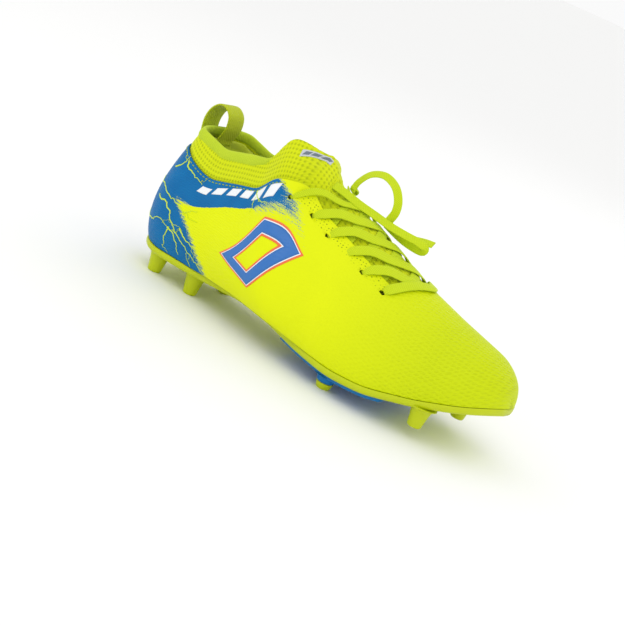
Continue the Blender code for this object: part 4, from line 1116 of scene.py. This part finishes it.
# The satin patch, then its bars a little above it.
def buildLabel():
    piece = labelStrip("tongueLabel", tongueLabel["start"], tongueLabel["end"], 34, tongueLabel["half"], 0, -0.25,
                       "label", steps=12, depthBelow=0.8)
    enter(piece, "label", "tongue_label")
    for i, start in enumerate(tongueLabel["bars"]):
        labelStrip(f"labelBar{i + 1}", start, start + tongueLabel["barLength"], 8, tongueLabel["barHalf"],
                           tongueLabel["lean"], -0.1, "labelBar", steps=6, depthBelow=0.35)


buildLabel()


# Threads lying on a line of points, each of the given length and followed by a gap.
def stitchRow(name, path, normals, length, gap, material, body="shoe", width=0.6):
    gone = lengthAlong(path)
    meshes = []
    for start in np.arange(0, gone[-1] - length, length + gap):
        at = np.linspace(start, start + length, 5)
        centres, up = readAlong(at, gone, path), readAlong(at, gone, normals)
        lift = np.array([-0.35, 0, 0.12, 0, -0.35])[:, None] * up   # both ends dive into the cloth
        meshes.append(ribbonMesh(centres + lift, up, width, 0.4, around=6, flatness=1.0)[:2])
    return joinParts(name, meshes, material, body)


# A line of stitches just under the shell's top edge.
def collarStitches():
    station = np.linspace(2, 121, 240)
    signed = np.concatenate([-station[::-1], station])
    side = sideOf(signed)
    fraction = shellTop(np.abs(signed)) - 0.022
    path = atDepth(np.abs(signed), fraction, side, -0.12)
    piece = stitchRow("collarStitches", path, surfaceNormal(np.abs(signed), fraction, side), 1.7, 1.1,
                      finishes["thread"])


# Two rows of stitches across each end of the pull tab.
def tabStitches():
    meshes = []
    for x, facing in ((10.2, -1.0), (23.4, 1.0)):
        for z in (91.0, 94.5):
            y = np.linspace(-7.6, 7.6, 12)
            for a, b in zip(y[:-1], y[1:]):
                t = np.linspace(a + 0.2, b - 0.2, 4)
                shift = 0.8 + np.array([-0.3, 0.1, 0.1, -0.3])
                route = np.stack([x + facing * shift, t, np.full(4, z)], axis=1) - heelPoint
                meshes.append(ribbonMesh(route, np.tile([facing, 0.0, 0.0], (4, 1)), 0.55, 0.4, around=6,
                                         flatness=1.0)[:2])
    joinParts("pullTabStitches", meshes, finishes["thread"])


collarStitches()
tabStitches()
print("stitches made")


# Lining from the board up to the rolled band, closed over the toe; it also covers the heel padding.
def buildLining():
    t = np.linspace(0, 1, 120)
    station = 6 + (270 - 6) * t
    signed = np.concatenate([-station[::-1], station])
    grid = np.abs(signed)
    top = np.interp(grid, (0, 96, 108, 200, 207, 300), (0.9, 0.9, 0.70, 0.68, 1.0, 1.0))
    climb = np.linspace(0, 1, 46)[None, :]
    fraction = 0.03 + (top[:, None] - 0.03) * climb
    depth = 5.3 + 1.3 * ramp(fraction, 0.55, 0.1) * ramp(grid, 84, -14)[:, None]
    depth = depth - 3.0 * ramp(fraction, 0.83, 0.07) * ramp(grid, 104, -8)[:, None]
    piece = layer("innerLining", signed, fraction, depth, depth + 0.8, material=finishes["lining"])
    enter(piece, "lining", "quarter_lining", "vamp_lining")


# Heel padding: a foam crescent that is thickest at its middle height and thins to its edges.
def buildPadding():
    signed = bothSides(70.0, 90)
    edge = curve("shellEdge", np.abs(signed))[:, None]
    climb = np.linspace(0, 1, 16)[None, :]
    fraction = edge + 0.01 + (0.20 * (1 - edge) / 0.28) * climb * 0.8
    crown = np.sqrt(np.clip(4 * climb * (1 - climb), 0, 1)) * np.clip((70 - np.abs(signed)) / 20, 0.1, 1)[:, None]
    piece = layer("collarPadding", signed, fraction, 4.9 - 0.9 * crown, 5.0 + 1.3 * crown, material=finishes["foam"])
    enter(piece, "lining", "collar_padding")


sockliner = {"range": (12.0, 262.0), "inset": 8.0, "thickness": 3.0, "lift": 5.0, "cup": 1.6}


# A rounded slab within the sole's outline, its heel rim pressed up into a cup.
def buildSockliner():
    points, quads = soleLayer(*sockliner["range"], 130, ("lateralWidth", "medialWidth"), sockliner["inset"],
                              sockliner["lift"], sockliner["thickness"], 0.5, 1.2)
    inner = points + heelPoint
    station, offset = inner[:, 0], inner[:, 1] - curve("centreLine", inner[:, 0])
    cup = sockliner["cup"] * ramp(station, 90, -90) * ramp(np.abs(offset), 8, 14) ** 2
    points = points + np.stack([np.zeros_like(cup), np.zeros_like(cup), cup], axis=1)
    piece = joinParts("sockliner_foam", [(points, quads)], finishes["insole"], body="insole")
    enter(piece, "lining", "sockliner")


buildLining()
buildPadding()
buildSockliner()
for nodeName, finish in (("heel_counter", "stiffener"), ("toe_puff", "stiffener"), ("lasting_board", "board")):
    nodes[nodeName].data.materials.append(finishes[finish])
print("inside made")

# A white room: a pale floor out to the horizon, an even sky and three soft square lamps, watts and metres.
stage = {"floor": 60.0, "sky": 0.96,
         "lamps": (("keyLight", (0.5, -0.9, 1.3), 3.2, 1.0), ("fillLight", (-0.9, -0.6, 0.8), 0.9, 1.0),
                   ("rimLight", (0.1, 1.1, 0.9), 1.2, 0.8))}


# Lamps are aimed at the middle of the floor.
def buildStage():
    mesh = bpy.data.meshes.new("studioFloor")
    half = stage["floor"] / 2
    mesh.from_pydata([(-half, -half, 0), (half, -half, 0), (half, half, 0), (-half, half, 0)], [], [(0, 1, 2, 3)])
    mesh.materials.append(newFinish("paleFloor", Roughness=0.9, Base_Color=linear("#FAFAF9"))[0])
    placed("studioFloor", mesh)
    world = bpy.data.worlds.new("studioWorld")
    world.use_nodes = True
    world.node_tree.nodes["Background"].inputs["Color"].default_value = (1, 1, 1, 1)
    world.node_tree.nodes["Background"].inputs["Strength"].default_value = stage["sky"]
    bpy.context.scene.world = world
    for name, place, energy, size in stage["lamps"]:
        data = bpy.data.lights.new(name, "AREA")
        data.energy, data.size = energy, size
        light = placed(name, data)
        light.location = place
        light.rotation_euler = (-Vector(place)).to_track_quat("-Z", "Y").to_euler()


buildStage()
bpy.context.scene.view_settings.view_transform = "Standard"
